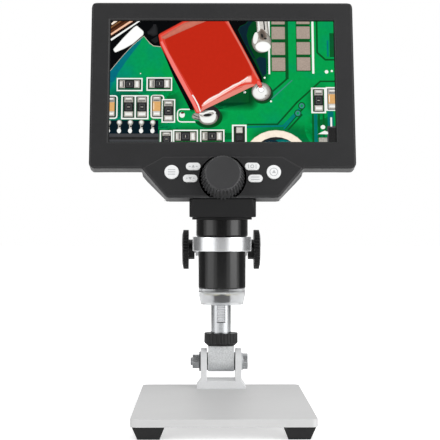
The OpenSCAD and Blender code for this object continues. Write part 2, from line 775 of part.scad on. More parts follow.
// Outline of the housing's face drawn in by an inset, anticlockwise from its lower left corner
function face_outline(inset) = let(
    side = norm([(chin_w - chin_low_w) / 2, chin_h]),
    k = inset * (side - (chin_w - chin_low_w) / 2) / chin_h,
    w = head_w / 2 - inset) [
    [-chin_low_w / 2 + k, inset], [chin_low_w / 2 - k, inset], [chin_w / 2 - k, chin_h + inset],
    [w, chin_h + inset], [w, head_top - inset], [-w, head_top - inset], [-w, chin_h + inset],
    [-chin_w / 2 + k, chin_h + inset]];

// The radii of those corners; the two where the chin meets the housing are tighter
function face_radii(inset) = let(r = head_r - inset, t = head_r / 2) [r, r, t, r, r, r, r, t];

// Outline of the key panel on the chin
panel = [[-chin_low_w / 2, 0], [chin_low_w / 2, 0], [chin_w / 2, chin_h],
    [panel_w / 2, chin_h + panel_up], [-panel_w / 2, chin_h + panel_up], [-chin_w / 2, chin_h]];

// The six keys as [x, height, is it round]
keys = [[-round_key_x, round_key_up, true], [round_key_x, round_key_up, true],
    [-upper_key_x, upper_key_up, false], [upper_key_x, upper_key_up, false],
    [-lower_key_x, lower_key_up, false], [lower_key_x, lower_key_up, false]];

// A key's body from one depth to another, grown by a margin
module key_form(key, grow, d0, d1) {
    if (key[2]) face_rod(key[0], key[1], round_key_r + grow, d0, d1);
    else {
        r = oblong_h / 2 + grow;
        half = (oblong_l - oblong_h) / 2;
        for (s = [-1, 1]) face_rod(key[0] + s * half, key[1], r, d0, d1);
        translate([key[0] - half, d0, key[1] - r]) cube([2 * half, d1 - d0, 2 * r]);
    }
}

module front_bezel() {
    outline = face_outline(0);
    color("#333436") in_head() difference() {
        union() {
            difference() {
                between(0, rim_d) polygon(rounded(outline, face_radii(0)));
                for (i = [2:6]) bevel(outline[i], outline[i + 1], chamfer);
                between(face_t, rim_d + cut) polygon(rounded(face_outline(wall), face_radii(wall)));
            }
            difference() {
                between(-panel_t, face_t) polygon(rounded(panel, [head_r, head_r, 1, 1, 1, 1]));
                for (i = [2:4]) bevel(panel[i], panel[i + 1], panel_t * 1.4, -panel_t);
                for (e = [[5, 0], [0, 1], [1, 2]]) bevel(panel[e[0]], panel[e[1]], chamfer, -panel_t);
            }
            face_rod(0, knob_up, focus_boss_r, face_t - small_chamfer, rim_d);
            for (x = [-screw_x, screw_x], up = [screw_low, screw_high])
                face_rod(x, up, screw_post_r, face_t - small_chamfer, screw_seat_d);
            for (x = [-peg_x, peg_x]) face_rod(x, peg_up, peg_r, face_t - small_chamfer, keyboard_d);
        }
        translate([0, -cut, window_z + window_h / 2]) rotate([-90, 0, 0])
            linear_extrude(face_t + 2 * cut) square([window_w, window_h], center = true);
        translate([0, 0, window_z + window_h / 2]) rotate([-90, 0, 0])
            translate([0, 0, -cut]) tapered([window_w + 2 * (lip + cut), window_h + 2 * (lip + cut)],
                [window_w, window_h], lip + cut);
        face_rod(0, knob_up, recess_r, -panel_t - cut, 0);
        face_rod(0, knob_up, focus_r + running, -cut, rim_d + cut);
        for (key = keys) key_form(key, key_gap, -panel_t - cut, face_t + cut);
        for (x = [-screw_x, screw_x], up = [screw_low, screw_high])
            face_rod(x, up, screw_r + running, face_t + 1, screw_seat_d + cut);
        translate([head_w / 2 - wall - cut, socket_d - 0.15, board_z + usb_up - usb_w / 2 - 0.2])
            cube([wall + 2 * cut, 2.8 + 0.3, usb_w + 0.4]);
        translate([head_w / 2 - wall - cut, board_d - card_t - 0.15, board_z + card_up - card_w / 2 - 0.2])
            cube([wall + 2 * cut, card_t + 0.3, card_w + 0.4]);
    }
}

// The rear cover's form drawn in by an inset: a tapered lid, and behind the chin a sloping underside
module cover_form(inset, d0) {
    back = head_d - inset;
    draw = cover_draw / cover_d * (back - rim_d);
    w = head_w - 2 * inset;
    h = head_h - 2 * inset;
    intersection() {
        translate([0, rim_d, chin_h + head_h / 2]) rotate([-90, 0, 0])
            tapered([w, h], [w - 2 * draw, h - 2 * draw], back - rim_d);
        between(rim_d, back) polygon(rounded(face_outline(inset), face_radii(inset)));
    }
    intersection() {
        between(rim_d, back) polygon(rounded(face_outline(inset), face_radii(inset)));
        across(chin_w - 2 * inset) polygon([[d0, inset], [rim_d, inset], [back, chin_h - 4],
            [back, chin_h + 14], [d0, chin_h + 6]]);
    }
}

module rear_cover() {
    color("#2b2c2e") difference() {
        in_head() difference() {
            cover_form(0, rim_d);
            translate([0, -lap, 0]) cover_form(wall, rim_d - cut);
            for (s = [-1, 1], i = [0:vent_n - 1])
                translate([s * vent_x - vent_l / 2, head_d - wall - cut, vent_up + i * vent_pitch])
                    cube([vent_l, wall + 2 * cut, vent_w]);
            for (x = [-screw_x, screw_x], up = [screw_low, screw_high]) {
                face_rod(x, up, screw_post_r + seat, rim_d - cut, screw_seat_d);
                face_rod(x, up, screw_r + running, rim_d, head_d + cut);
                face_rod(x, up, screw_head_r + 0.3, screw_seat_d + 1.2, head_d + cut);
            }
        }
        neck_form(wall, neck_z + neck_floor);
    }
    color("#2b2c2e") in_head() for (x = [-screw_x, screw_x], up = [screw_low, screw_high]) difference() {
        intersection() {
            face_rod(x, up, screw_head_r + 1.3, screw_seat_d, head_d);
            cover_form(lap, rim_d);
        }
        face_rod(x, up, screw_r + running, screw_seat_d - cut, head_d + cut);
        face_rod(x, up, screw_head_r + 0.3, screw_seat_d + 1.2, head_d + cut);
    }
}

module neck() {
    color("#29292b") difference() {
        neck_form(0, neck_z);
        neck_form(wall, neck_z + neck_floor);
        translate([0, tube_y, neck_z - cut]) cylinder(h = neck_floor + 2 * cut, r = tube_r + running, $fn = 96);
        in_head() {
            between(-neck_wrap, rim_d + lap) polygon(rounded(face_outline(0), face_radii(0)));
            cover_form(0, rim_d);
        }
    }
}

// ---- Screen, boards and sockets ------------------------------------------------------------

// A flat block centred on the window, between two depths
module behind_window(w, h, d0, d1) {
    translate([-w / 2, d0, window_z + (window_h - h) / 2]) cube([w, d1 - d0, h]);
}

module display_glass() {
    color("#0d3b26") in_head()
        behind_window(window_w + 2 * glass_rim, window_h + 2 * glass_rim, glass_d, lcd_d);
}

module lcd_panel() {
    color("#9fa3a6") in_head() {
        behind_window(window_w + 2 * lcd_rim, window_h + 2 * lcd_rim_h, lcd_d, lcd_back);
        for (x = [-stud_x, stud_x], up = [-stud_z, stud_z])
            face_rod(x, board_z + up, 2, lcd_back - 0.5, board_d);
    }
}

module main_board() {
    color("#1f6b3a") in_head() {
        translate([-board_w / 2, board_d, board_z - board_h / 2]) cube([board_w, board_t, board_h]);
        translate([board_w / 2 - 1, board_d, board_z - board_h / 3])
            cube([board_right - board_w / 2 + 1, board_t, board_h * 2 / 3]);
        translate([-12, board_d - 1.4, board_z - 8]) cube([16, 2, 16]);
        translate([16, board_d - 1.2, board_z - 6]) cube([10, 2, 12]);
    }
}

module battery_pack() {
    color("#3566a8") in_head() translate([-battery_w / 2, board_d + board_t, board_z - battery_h / 2])
        cube([battery_w, battery_t, battery_h]);
}

// A socket shell on the board's right edge, open to the side
module socket(w, t, up) {
    in_head() translate([board_right - 6, board_d - t, board_z + up - w / 2]) difference() {
        cube([7, t, w]);
        translate([1, 0.35, 0.35]) cube([7, t - 0.7, w - 0.7]);
    }
}
module usb_socket() { color("silver") socket(usb_w, 2.8, usb_up); }
module card_socket() { color("silver") socket(card_w, card_t, card_up); }

module key_board() {
    color("#1f6b3a") in_head() {
        difference() {
            translate([-keyboard_w / 2, keyboard_d, keyboard_low])
                cube([keyboard_w, keyboard_t, keyboard_high - keyboard_low]);
            face_rod(0, knob_up, focus_boss_r + 0.6, keyboard_d - cut, keyboard_d + keyboard_t + cut);
        }
        for (key = keys) translate([key[0] - switch_w / 2, keyboard_d - switch_t, key[1] - switch_w / 2])
            cube([switch_w, switch_t + 0.5, switch_w]);
    }
}

module cover_screws() {
    color("#55585a") in_head() for (x = [-screw_x, screw_x], up = [screw_low, screw_high]) difference() {
        union() {
            face_rod(x, up, screw_r, face_t + 2, screw_seat_d + 1.2 + screw_head_t);
            face_rod(x, up, screw_head_r, screw_seat_d + 1.2, screw_seat_d + 1.2 + screw_head_t);
        }
        translate([x - 1.4, screw_seat_d + 1.9, up - 0.3]) cube([2.8, screw_head_t, 0.6]);
        translate([x - 0.3, screw_seat_d + 1.9, up - 1.4]) cube([0.6, screw_head_t, 2.8]);
    }
}

// ---- Focus drive and lens ------------------------------------------------------------------

// A ribbed cone that narrows to its face
module focus_knob() {
    color("#232324") in_head() difference() {
        translate([0, -knob_gap, knob_up]) rotate([90, 0, 0]) {
            linear_extrude(knob_h - 1, scale = knob_face_r / knob_r) polygon(ribbed(knob_r, 0.9, knob_ribs));
            translate([0, 0, knob_h - 1 - small_chamfer])
                cylinder(h = 1 + small_chamfer, r1 = knob_face_r - 0.3, r2 = knob_face_r - 0.8);
        }
        face_rod(0, knob_up, focus_r + running, -knob_gap - knob_bore, cut);
    }
}

module focus_shaft() {
    color("#8a8d90") in_head() {
        face_rod(0, knob_up, focus_r, -knob_gap - knob_bore + 0.2, focus_d + focus_pinion_l / 2);
        translate([0, focus_d, knob_up]) rotate([90, 0, 0])
            linear_extrude(focus_pinion_l, center = true) polygon(gear(focus_m, focus_n));
    }
}

// The lens holder, and the upright rack that the focus pinion drives
module lens_carriage() {
    n = focus_travel_n + 8;
    bar_x = focus_pitch_r + dedendum * focus_m;
    color("#3a3b3d") {
        translate([0, tube_y, holder_z0]) difference() {
            cylinder(h = holder_l, r = holder_r, $fn = 96);
            translate([0, 0, -cut]) cylinder(h = holder_l + 2 * cut, r = holder_bore_r);
        }
        translate([bar_x, focus_rack_y - focus_rack_w / 2, holder_z0 + holder_l - cut])
            cube([focus_rack_t, focus_rack_w, focus_rack_high - holder_z0 - holder_l + cut]);
        intersection() {
            translate([0, focus_rack_y - focus_rack_w / 2, focus_rack_low])
                cube([bar_x + focus_rack_t / 2, focus_rack_w, focus_rack_high - focus_rack_low]);
            in_head() translate([focus_pitch_r, focus_d + 8, knob_up - (n - 4) * focus_pitch])
                rotate([90, 0, 0]) linear_extrude(16) rotate(90)
                    mirror([0, 1]) polygon(rack(focus_m, n + 1, bar_x - focus_pitch_r + 1));
        }
    }
}

module lens_barrel() {
    color("#202122") translate([0, tube_y, 0]) rotate_extrude() polygon([
        [0, barrel_z0 + 1], [barrel_r - 2, barrel_z0 + 1], [barrel_r - 1, barrel_z0], [barrel_r, barrel_z0],
        [barrel_r, barrel_z0 + 5], [barrel_top_r, barrel_z0 + 6], [barrel_top_r, holder_z0 - 1],
        [holder_bore_r + 1.5, holder_z0 - 1], [holder_bore_r + 1.5, holder_z0],
        [holder_bore_r - running, holder_z0], [holder_bore_r - running, holder_z0 + holder_l - 4],
        [0, holder_z0 + holder_l - 4]]);
}

module sensor_board() {
    color("#1f6b3a") translate([-sensor_w / 2, tube_y - sensor_w / 2 + lens_rise, holder_z0 + holder_l])
        cube([sensor_w, sensor_w - lens_rise, sensor_t]);
    color("#1f6b3a") translate([-4, tube_y - 4, holder_z0 + holder_l - 1.2]) cube([8, 8, 1.2 + sensor_t / 2]);
}

// ---- Keys ----------------------------------------------------------------------------------

// A keycap with the flange that holds it behind the panel
module key(i) {
    color("#f2f2f0") in_head() {
        key_form(keys[i], 0, -panel_t - key_out, key_back);
        key_form(keys[i], flange, key_back - flange_t, key_back);
    }
}
module round_key_left() { key(0); }
module round_key_right() { key(1); }
module upper_key_left() { key(2); }
module upper_key_right() { key(3); }
module lower_key_left() { key(4); }
module lower_key_right() { key(5); }

base_plate();
foot_front_left();
foot_front_right();
foot_back_left();
foot_back_right();
foot_screws();
hinge_bracket();
bracket_screws();
hinge_bolt();
hinge_nut();
washer_left();
washer_right();
friction_washer_left();
friction_washer_right();
hinge_block();
rack_post();
post_rack();
lock_ring();
carriage();
tension_screw();
pinion_shaft();
side_knob_left();
side_knob_right();
outer_tube();
diffuser_cap();
led_board();
leds();
collar();
neck();
front_bezel();
rear_cover();
display_glass();
lcd_panel();
main_board();
battery_pack();
usb_socket();
card_socket();
key_board();
cover_screws();
focus_knob();
focus_shaft();
lens_carriage();
lens_barrel();
sensor_board();
round_key_left();
round_key_right();
upper_key_left();
upper_key_right();
lower_key_left();
lower_key_right();
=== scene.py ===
import json
import math

import bmesh
import bpy
from mathutils import Matrix, Vector


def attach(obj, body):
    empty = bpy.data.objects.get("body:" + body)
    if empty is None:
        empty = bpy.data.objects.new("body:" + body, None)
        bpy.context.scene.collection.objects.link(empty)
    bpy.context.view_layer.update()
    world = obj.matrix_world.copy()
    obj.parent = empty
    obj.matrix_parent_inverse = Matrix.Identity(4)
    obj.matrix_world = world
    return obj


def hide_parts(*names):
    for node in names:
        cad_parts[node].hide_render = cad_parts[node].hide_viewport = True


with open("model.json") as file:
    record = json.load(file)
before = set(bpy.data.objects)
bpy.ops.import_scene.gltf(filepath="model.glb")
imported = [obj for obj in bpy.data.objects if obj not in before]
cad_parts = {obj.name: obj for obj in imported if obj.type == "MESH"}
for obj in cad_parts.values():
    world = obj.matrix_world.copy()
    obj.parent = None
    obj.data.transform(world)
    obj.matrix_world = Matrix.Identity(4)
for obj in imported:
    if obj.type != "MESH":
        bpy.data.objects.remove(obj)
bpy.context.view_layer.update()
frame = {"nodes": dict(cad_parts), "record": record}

NODES = frame["nodes"]
MM = 0.001

# ---- Sizes, in millimetres, as in the model -------------------------------------------------
# The chin's lower front edge, and the degrees that the face leans back
CHIN_Y, CHIN_Z, LEAN = -25.9, 153.0, 12
# The window, its top edge's height above the chin's edge, and how deep its glass lies
WINDOW_W, WINDOW_H, WINDOW_TOP, GLASS_D = 155.0, 87.2, 126.5, 2.2
# The focus knob's axis above the chin's edge, its rim's radius and the depth of the ribs on it
KNOB_UP, KNOB_RIM_R, KNOB_RIB_D = 13.7, 15.0, 0.9
# Where each pair of keys sits: across from the middle, left and right alike, and up
KEY_AT = {"round_key": (34.4, 17.5), "upper_key": (19.9, 21.4), "lower_key": (21.9, 13.1)}
# The chin panel's thickness, how far the keys stand out of it, and the gap and thickness of their marks
PANEL_T, KEY_OUT, MARK_GAP, MARK_T = 1.0, 0.8, 0.005, 0.04
# The screen's picture: its margins in the window, its gap to the glass and the step between its layers
PICTURE_SIDE, PICTURE_TOP, PICTURE_GAP, LAYER = 0.4, 0.3, 0.002, 0.014
# The sheet that the picture is drawn on, and how far the drawing is moved across it
DRAWN_W, DRAWN_H, DRAWN_SHIFT = 156.0, 88.0, -1.3
# Sides of an oval and of a printed ring, and steps round a soft corner
OVAL_SIDES, RING_SIDES, CORNER_STEPS = 28, 24, 3
# In a merged node, points closer than WELD become one, edges shorter than SLIVER go, and faces that turn
# by less than FLAT degrees become one
WELD, SLIVER, FLAT = 0.003, 0.1, 0.4
# The depth of the finishes' grain, and how far from an edge their rubbed colour reaches, which is partly wear
# and partly a painted highlight
GRAIN_DEPTH, EDGE_WEAR_AND_SHEEN_REACH = 0.03, 0.7

# The screen head's own frame: across, back from the face, up from the chin's lower edge
HEAD = Matrix.Translation(Vector((0, CHIN_Y, CHIN_Z))) @ Matrix.Rotation(math.radians(-LEAN), 4, "X")

# ---- Camera, first of all -------------------------------------------------------------------
camera = bpy.data.objects.new("camera", bpy.data.cameras.new("camera"))
bpy.context.scene.collection.objects.link(camera)
camera.location = (-0.0116, -0.870, 0.1371)
camera.rotation_euler = (math.radians(90), 0, math.radians(-0.66))
camera.data.sensor_width = 36
camera.data.lens = 102.85
camera.data.shift_y = 0.0034
camera.data.clip_start, camera.data.clip_end = 0.05, 20
bpy.context.scene.camera = camera
bpy.context.scene.view_settings.view_transform = "Standard"


# ---- Node helpers ---------------------------------------------------------------------------
def emptied(material):
    """The material's node tree with nothing in it but an output."""
    material.use_nodes = True
    material.node_tree.nodes.clear()
    return material.node_tree, material.node_tree.nodes.new("ShaderNodeOutputMaterial")


def srgb(value):
    """A colour as a screen shows it, 0 to 255 a channel, in linear light."""
    return [((v / 255 + 0.055) / 1.055) ** 2.4 if v > 10 else v / 255 / 12.92 for v in value] + [1]


def add(tree, kind, links=(), **settings):
    """A node with its settings and input values; links are (input, output socket)."""
    node = tree.nodes.new(kind)
    for key, value in settings.items():
        if key in node.bl_rna.properties:
            setattr(node, key, value)
        else:
            node.inputs[key.replace("_", " ")].default_value = value
    for name, socket in links:
        tree.links.new(socket, node.inputs[name])
    return node


def group(name, inputs, outputs):
    """An empty node group with the given float or colour sockets."""
    tree = bpy.data.node_groups.new(name, "ShaderNodeTree")
    for label, kind, default in inputs:
        tree.interface.new_socket(label, in_out="INPUT", socket_type=kind).default_value = default
    for label, kind in outputs:
        tree.interface.new_socket(label, in_out="OUTPUT", socket_type=kind)
    return tree, tree.nodes.new("NodeGroupInput").outputs, tree.nodes.new("NodeGroupOutput").inputs


def calc(tree, operation, a, b, c=None, clamp=False):
    """A maths node on sockets or plain numbers."""
    node = tree.nodes.new("ShaderNodeMath")
    node.operation, node.use_clamp = operation, clamp
    for place, value in enumerate([a, b] if c is None else [a, b, c]):
        if isinstance(value, (int, float)):
            node.inputs[place].default_value = value
        else:
            tree.links.new(value, node.inputs[place])
    return node.outputs[0]


def spread(tree, value, low, high, to_low=0.0, to_high=1.0):
    """A value's stretch from low to high, mapped to another stretch."""
    node = add(tree, "ShaderNodeMapRange", [("Value", value)])
    node.inputs["From Min"].default_value, node.inputs["From Max"].default_value = low, high
    node.inputs["To Min"].default_value, node.inputs["To Max"].default_value = to_low, to_high
    return node.outputs["Result"]


FLOAT, COLOUR = "NodeSocketFloat", "NodeSocketColor"


def surface_group():
    """Moulding grain, broad tone, fine smudges and, along outer edges, a lighter colour that is partly rubbed
    wear and partly a painted highlight where edges catch the light.
    """
    tree, given, out = group("surface_finish", [
        ("Colour", COLOUR, (0.5, 0.5, 0.5, 1)), ("Worn Colour", COLOUR, (0.6, 0.6, 0.6, 1)),
        ("Grain Scale", FLOAT, 3000.0), ("Tone Spread", FLOAT, 0.1), ("Roughness", FLOAT, 0.5),
        ("Roughness Spread", FLOAT, 0.08), ("Edge Wear", FLOAT, 0.2), ("Speckle", FLOAT, 0.0)],
        [("Colour", COLOUR), ("Roughness", FLOAT), ("Height", FLOAT)])
    place = add(tree, "ShaderNodeTexCoord").outputs["Object"]
    broad = add(tree, "ShaderNodeTexNoise", [("Vector", place)], Scale=34.0, Detail=3.0).outputs["Fac"]
    smudge = add(tree, "ShaderNodeTexNoise", [("Vector", place)], Scale=260.0, Detail=4.0).outputs["Fac"]
    grain = add(tree, "ShaderNodeTexNoise", [("Vector", place), ("Scale", given["Grain Scale"])],
                Detail=2.0).outputs["Fac"]
    rounded = add(tree, "ShaderNodeBevel", samples=4, Radius=EDGE_WEAR_AND_SHEEN_REACH * MM)
    facing = add(tree, "ShaderNodeVectorMath", operation="DOT_PRODUCT")
    tree.links.new(rounded.outputs["Normal"], facing.inputs[0])
    tree.links.new(add(tree, "ShaderNodeNewGeometry").outputs["Normal"], facing.inputs[1])
    # Outer edges: the worn colour put here is rubbed wear and also a painted highlight
    edge = spread(tree, facing.outputs["Value"], 0.985, 0.86)
    rubbed_and_sheen = calc(tree, "MULTIPLY", edge, spread(tree, smudge, 0.36, 0.6), clamp=True)
    wear = calc(tree, "MULTIPLY", rubbed_and_sheen, given["Edge Wear"], clamp=True)
    tone = calc(tree, "MULTIPLY_ADD", spread(tree, broad, 0.3, 0.7, -0.5, 0.5), given["Tone Spread"], 1.0)
    tone = calc(tree, "MULTIPLY_ADD", spread(tree, grain, 0.25, 0.75, -1.0, 1.0), given["Speckle"], tone)
    tinted = add(tree, "ShaderNodeVectorMath", operation="SCALE")
    tree.links.new(given["Colour"], tinted.inputs[0])
    tree.links.new(tone, tinted.inputs["Scale"])
    mixed = add(tree, "ShaderNodeMix", data_type="RGBA")
    tree.links.new(wear, mixed.inputs["Factor"])
    tree.links.new(tinted.outputs[0], mixed.inputs[6])
    tree.links.new(given["Worn Colour"], mixed.inputs[7])
    tree.links.new(mixed.outputs[2], out["Colour"])
    tree.links.new(calc(tree, "MULTIPLY_ADD", calc(tree, "SUBTRACT", smudge, 0.5), given["Roughness Spread"],
                        given["Roughness"]), out["Roughness"])
    tree.links.new(grain, out["Height"])
    return tree


FINISH = surface_group()


def finish(name, colour, worn, grain, tone, roughness, uneven, wear, bump, speckle=0.03, **plain):
    """A material on the shared surface finish. Tone and uneven are how far its colour and roughness
    stray; plain values go on the shader's own sockets. Its worn colour along edges is partly wear and
    partly a painted highlight."""
    material = bpy.data.materials.new(name)
    tree, out = emptied(material)
    shader = add(tree, "ShaderNodeBsdfPrincipled", **plain)
    tree.links.new(shader.outputs["BSDF"], out.inputs["Surface"])
    skin = add(tree, "ShaderNodeGroup", node_tree=FINISH)
    for label, value in [("Colour", srgb(colour)), ("Worn Colour", srgb(worn)),
                         ("Grain Scale", grain), ("Tone Spread", tone), ("Roughness", roughness),
                         ("Roughness Spread", uneven), ("Edge Wear", wear), ("Speckle", speckle)]:
        skin.inputs[label].default_value = value
    tree.links.new(skin.outputs["Colour"], shader.inputs["Base Color"])
    tree.links.new(skin.outputs["Roughness"], shader.inputs["Roughness"])
    relief = add(tree, "ShaderNodeBump", [("Height", skin.outputs["Height"])], Strength=bump,
                 Distance=GRAIN_DEPTH * MM)
    tree.links.new(relief.outputs["Normal"], shader.inputs["Normal"])
    return material


# ---- Finishes -------------------------------------------------------------------------------
MATT = {"Specular_IOR_Level": 0.3}
# The housing's light worn colour along edges is partly wear and partly a painted highlight on the chamfered
# edges
housing_black = finish("housing_black", (34, 34, 35), worn=(104, 105, 107), grain=2200, tone=0.14,
                       roughness=0.46, uneven=0.12, wear=0.7, bump=0.35, speckle=0.12, **MATT)
cover_black = finish("cover_black", (34, 35, 36), worn=(84, 85, 86), grain=2000, tone=0.14, roughness=0.55,
                     uneven=0.15, wear=0.5, bump=0.6, speckle=0.12, **MATT)
neck_black = finish("neck_black", (16, 16, 17), worn=(58, 58, 59), grain=2400, tone=0.12, roughness=0.5,
                    uneven=0.12, wear=0.4, bump=0.4, speckle=0.1, Specular_IOR_Level=0.2)
# The knob's bright worn colour along edges is partly wear and partly a painted glint
knob_black = finish("knob_black", (54, 54, 55), worn=(120, 120, 122), grain=2600, tone=0.2, roughness=0.4,
                    uneven=0.16, wear=0.8, bump=0.3, **MATT)
# Rib tips: a lighter copy of the knob's black with a bright worn colour, which paints the glints that the
# ribs catch
rib_black = finish("rib_black", (92, 92, 94), worn=(214, 214, 216), grain=2600, tone=0.2, roughness=0.2,
                   uneven=0.1, wear=1.0, bump=0.2, Specular_IOR_Level=1.0, Coat_Weight=1.0,
                   Coat_Roughness=0.16)
grip_black = finish("grip_black", (16, 16, 17), worn=(66, 66, 68), grain=2600, tone=0.2, roughness=0.38,
                    uneven=0.16, wear=0.6, bump=0.3, **MATT)
tube_black = finish("tube_black", (5, 5, 6), worn=(30, 30, 30), grain=1500, tone=0.1, roughness=0.2,
                    uneven=0.06, wear=0.1, bump=0.03, Specular_IOR_Level=0.4)
rubber_black = finish("rubber_black", (30, 30, 31), worn=(56, 56, 56), grain=2400, tone=0.25,
                      roughness=0.72, uneven=0.2, wear=0.3, bump=0.5, **MATT)
ring_chrome = finish("ring_chrome", (214, 215, 217), worn=(240, 240, 240), grain=1200, tone=0.03,
                     roughness=0.27, uneven=0.02, wear=0.1, bump=0.004, speckle=0.0, Metallic=0.95)
post_chrome = finish("post_chrome", (168, 170, 172), worn=(222, 222, 223), grain=1800, tone=0.06,
                     roughness=0.24, uneven=0.1, wear=0.2, bump=0.06, Metallic=1.0)
rack_steel = finish("rack_steel", (226, 227, 229), worn=(240, 240, 240), grain=2600, tone=0.1,
                    roughness=0.36, uneven=0.1, wear=0.3, bump=0.2, Metallic=0.3)
base_satin = finish("base_satin", (203, 203, 203), worn=(232, 232, 232), grain=3600, tone=0.03,
                    roughness=0.46, uneven=0.05, wear=0.5, bump=0.16, Metallic=0.2, Specular_IOR_Level=0.3)
bracket_satin = finish("bracket_satin", (224, 225, 226), worn=(242, 242, 242), grain=1800, tone=0.05,
                       roughness=0.42, uneven=0.08, wear=0.3, bump=0.25, speckle=0.06, Metallic=0.2)
block_silver = finish("block_silver", (208, 210, 211), worn=(234, 234, 234), grain=1300, tone=0.12,
                      roughness=0.36, uneven=0.1, wear=0.4, bump=0.7, speckle=0.22, Metallic=0.45)
bolt_steel = finish("bolt_steel", (178, 180, 182), worn=(226, 226, 228), grain=2000, tone=0.2,
                    roughness=0.26, uneven=0.12, wear=0.6, bump=0.2, Metallic=0.75)
dark_steel = finish("dark_steel", (96, 97, 99), worn=(150, 150, 152), grain=2000, tone=0.2, roughness=0.36,
                    uneven=0.12, wear=0.5, bump=0.2, Metallic=0.8)
zinc = finish("zinc", (190, 192, 194), worn=(220, 220, 220), grain=2000, tone=0.15, roughness=0.34,
              uneven=0.1, wear=0.3, bump=0.15, Metallic=0.75)
key_white = finish("key_white", (228, 229, 229), worn=(244, 244, 244), grain=2600, tone=0.02,
                   roughness=0.42, uneven=0.08, wear=0.1, bump=0.1)
print_grey = finish("print_grey", (172, 174, 176), worn=(184, 184, 184), grain=2600, tone=0.05,
                    roughness=0.5, uneven=0.08, wear=0.1, bump=0.05)
board_green = finish("board_green", (28, 96, 52), worn=(60, 130, 80), grain=900, tone=0.2, roughness=0.4,
                     uneven=0.1, wear=0.1, bump=0.1)
lamp_board = finish("lamp_board", (228, 229, 226), worn=(240, 240, 238), grain=1500, tone=0.04,
                    roughness=0.45, uneven=0.08, wear=0.1, bump=0.1)
lamp_yellow = finish("lamp_yellow", (234, 226, 190), worn=(240, 236, 214), grain=1500, tone=0.06,
                     roughness=0.3, uneven=0.08, wear=0.1, bump=0.1)
cell_blue = finish("cell_blue", (58, 92, 150), worn=(90, 120, 170), grain=1500, tone=0.08, roughness=0.4,
                   uneven=0.1, wear=0.1, bump=0.1)
tray_grey = finish("tray_grey", (150, 152, 154), worn=(190, 190, 190), grain=1500, tone=0.08,
                   roughness=0.38, uneven=0.1, wear=0.2, bump=0.1, Metallic=0.8)
screen_black = finish("screen_black", (12, 13, 13), worn=(20, 20, 20), grain=1500, tone=0.05, roughness=0.1,
                      uneven=0.03, wear=0.0, bump=0.0)
barrel_black = finish("barrel_black", (14, 14, 16), worn=(50, 51, 54), grain=1800, tone=0.15, roughness=0.4,
                      uneven=0.1, wear=0.4, bump=0.1, **MATT)
cap_frosted = finish("cap_frosted", (220, 221, 222), worn=(240, 240, 240), grain=2600, tone=0.03,
                     roughness=0.34, uneven=0.05, wear=0.1, bump=0.1, Transmission_Weight=0.93, IOR=1.14)


# ---- Pieces made from the model's own nodes -------------------------------------------------
def placed(name, form, materials, body, smooth=32, even=True):
    """The finished mesh object of a bmesh, riding on its body."""
    mesh = bpy.data.meshes.new(name)
    form.to_mesh(mesh)
    form.free()
    for material in materials:
        mesh.materials.append(material)
    mesh.shade_smooth()
    mesh.set_sharp_from_angle(angle=math.radians(smooth))
    piece = bpy.data.objects.new(name, mesh)
    bpy.context.scene.collection.objects.link(piece)
    if even:
        flat = piece.modifiers.new("flat_faces", "WEIGHTED_NORMAL")
        flat.keep_sharp = True
    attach(piece, body)
    return piece


def merged(node):
    """A merged copy of a node's mesh with its flat faces whole again."""
    form = bmesh.new()
    form.from_mesh(NODES[node].data)
    bmesh.ops.remove_doubles(form, verts=form.verts, dist=WELD * MM)
    bmesh.ops.dissolve_limit(form, angle_limit=math.radians(FLAT), verts=form.verts, edges=form.edges,
                             delimit={"NORMAL"})
    return form


def ease_edges(form, width, segments, angle, outward):
    """Rounds the edges that turn more than an angle. Where a shape has slivers that would hold every
    edge back, outward rounds its outward edges alone and to the full width."""
    if outward:
        bmesh.ops.dissolve_degenerate(form, edges=form.edges, dist=SLIVER * MM)
        form.normal_update()
    edges = [e for e in form.edges if e.is_manifold and math.radians(angle)
             < (e.calc_face_angle_signed(0) if outward else e.calc_face_angle(0))]
    bmesh.ops.bevel(form, geom=edges, offset=width * MM, offset_type="OFFSET", segments=segments,
                    profile=0.5, affect="EDGES", material=-1, clamp_overlap=not outward, loop_slide=True)


BODY_OF = {node: body for body, group_nodes in frame["record"]["behaviour"]["bodies"].items()
           for node in group_nodes}


def eased(node, material, width, segments=2, angle=28, outward=False):
    """A node shown again with rounded edges."""
    form = merged(node)
    ease_edges(form, width, segments, angle, outward)
    piece = placed(node + "_shown", form, [material], BODY_OF[node])
    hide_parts(node)
    return piece


# ---- Base, hinge and post -------------------------------------------------------------------
eased("base_plate", base_satin, 1.1, 4)
for corner in ["front_left", "front_right", "back_left", "back_right"]:
    eased("foot_" + corner, rubber_black, 0.45)
eased("hinge_bracket", bracket_satin, 0.9, 3)
eased("hinge_block", block_silver, 0.5, 3)
eased("hinge_nut", bolt_steel, 0.35)
eased("hinge_bolt", bolt_steel, 0.35)
eased("washer_left", dark_steel, 0.2)
eased("washer_right", zinc, 0.2)
for side in ["_left", "_right"]:
    eased("friction_washer" + side, rubber_black, 0.1)
eased("rack_post", post_chrome, 0.25, outward=True)
eased("post_rack", rack_steel, 0.08, 1)
eased("lock_ring", grip_black, 0.18, outward=True)

# ---- Carriage and its knobs -----------------------------------------------------------------
eased("carriage", ring_chrome, 0.35, 3, outward=True)
for side in ["_left", "_right"]:
    eased("side_knob" + side, grip_black, 0.2, outward=True)

# ---- Tube, cap and neck ---------------------------------------------------------------------
eased("outer_tube", tube_black, 0.3, 3)
eased("collar", neck_black, 0.3)
eased("diffuser_cap", cap_frosted, 0.3, 3)
eased("neck", neck_black, 0.5, 3, outward=True)

# ---- Screen housing -------------------------------------------------------------------------
eased("front_bezel", housing_black, 0.3, 3, outward=True)
eased("rear_cover", cover_black, 0.5, 3, angle=40, outward=True)
focus_knob_shown = eased("focus_knob", knob_black, 0.2, outward=True)
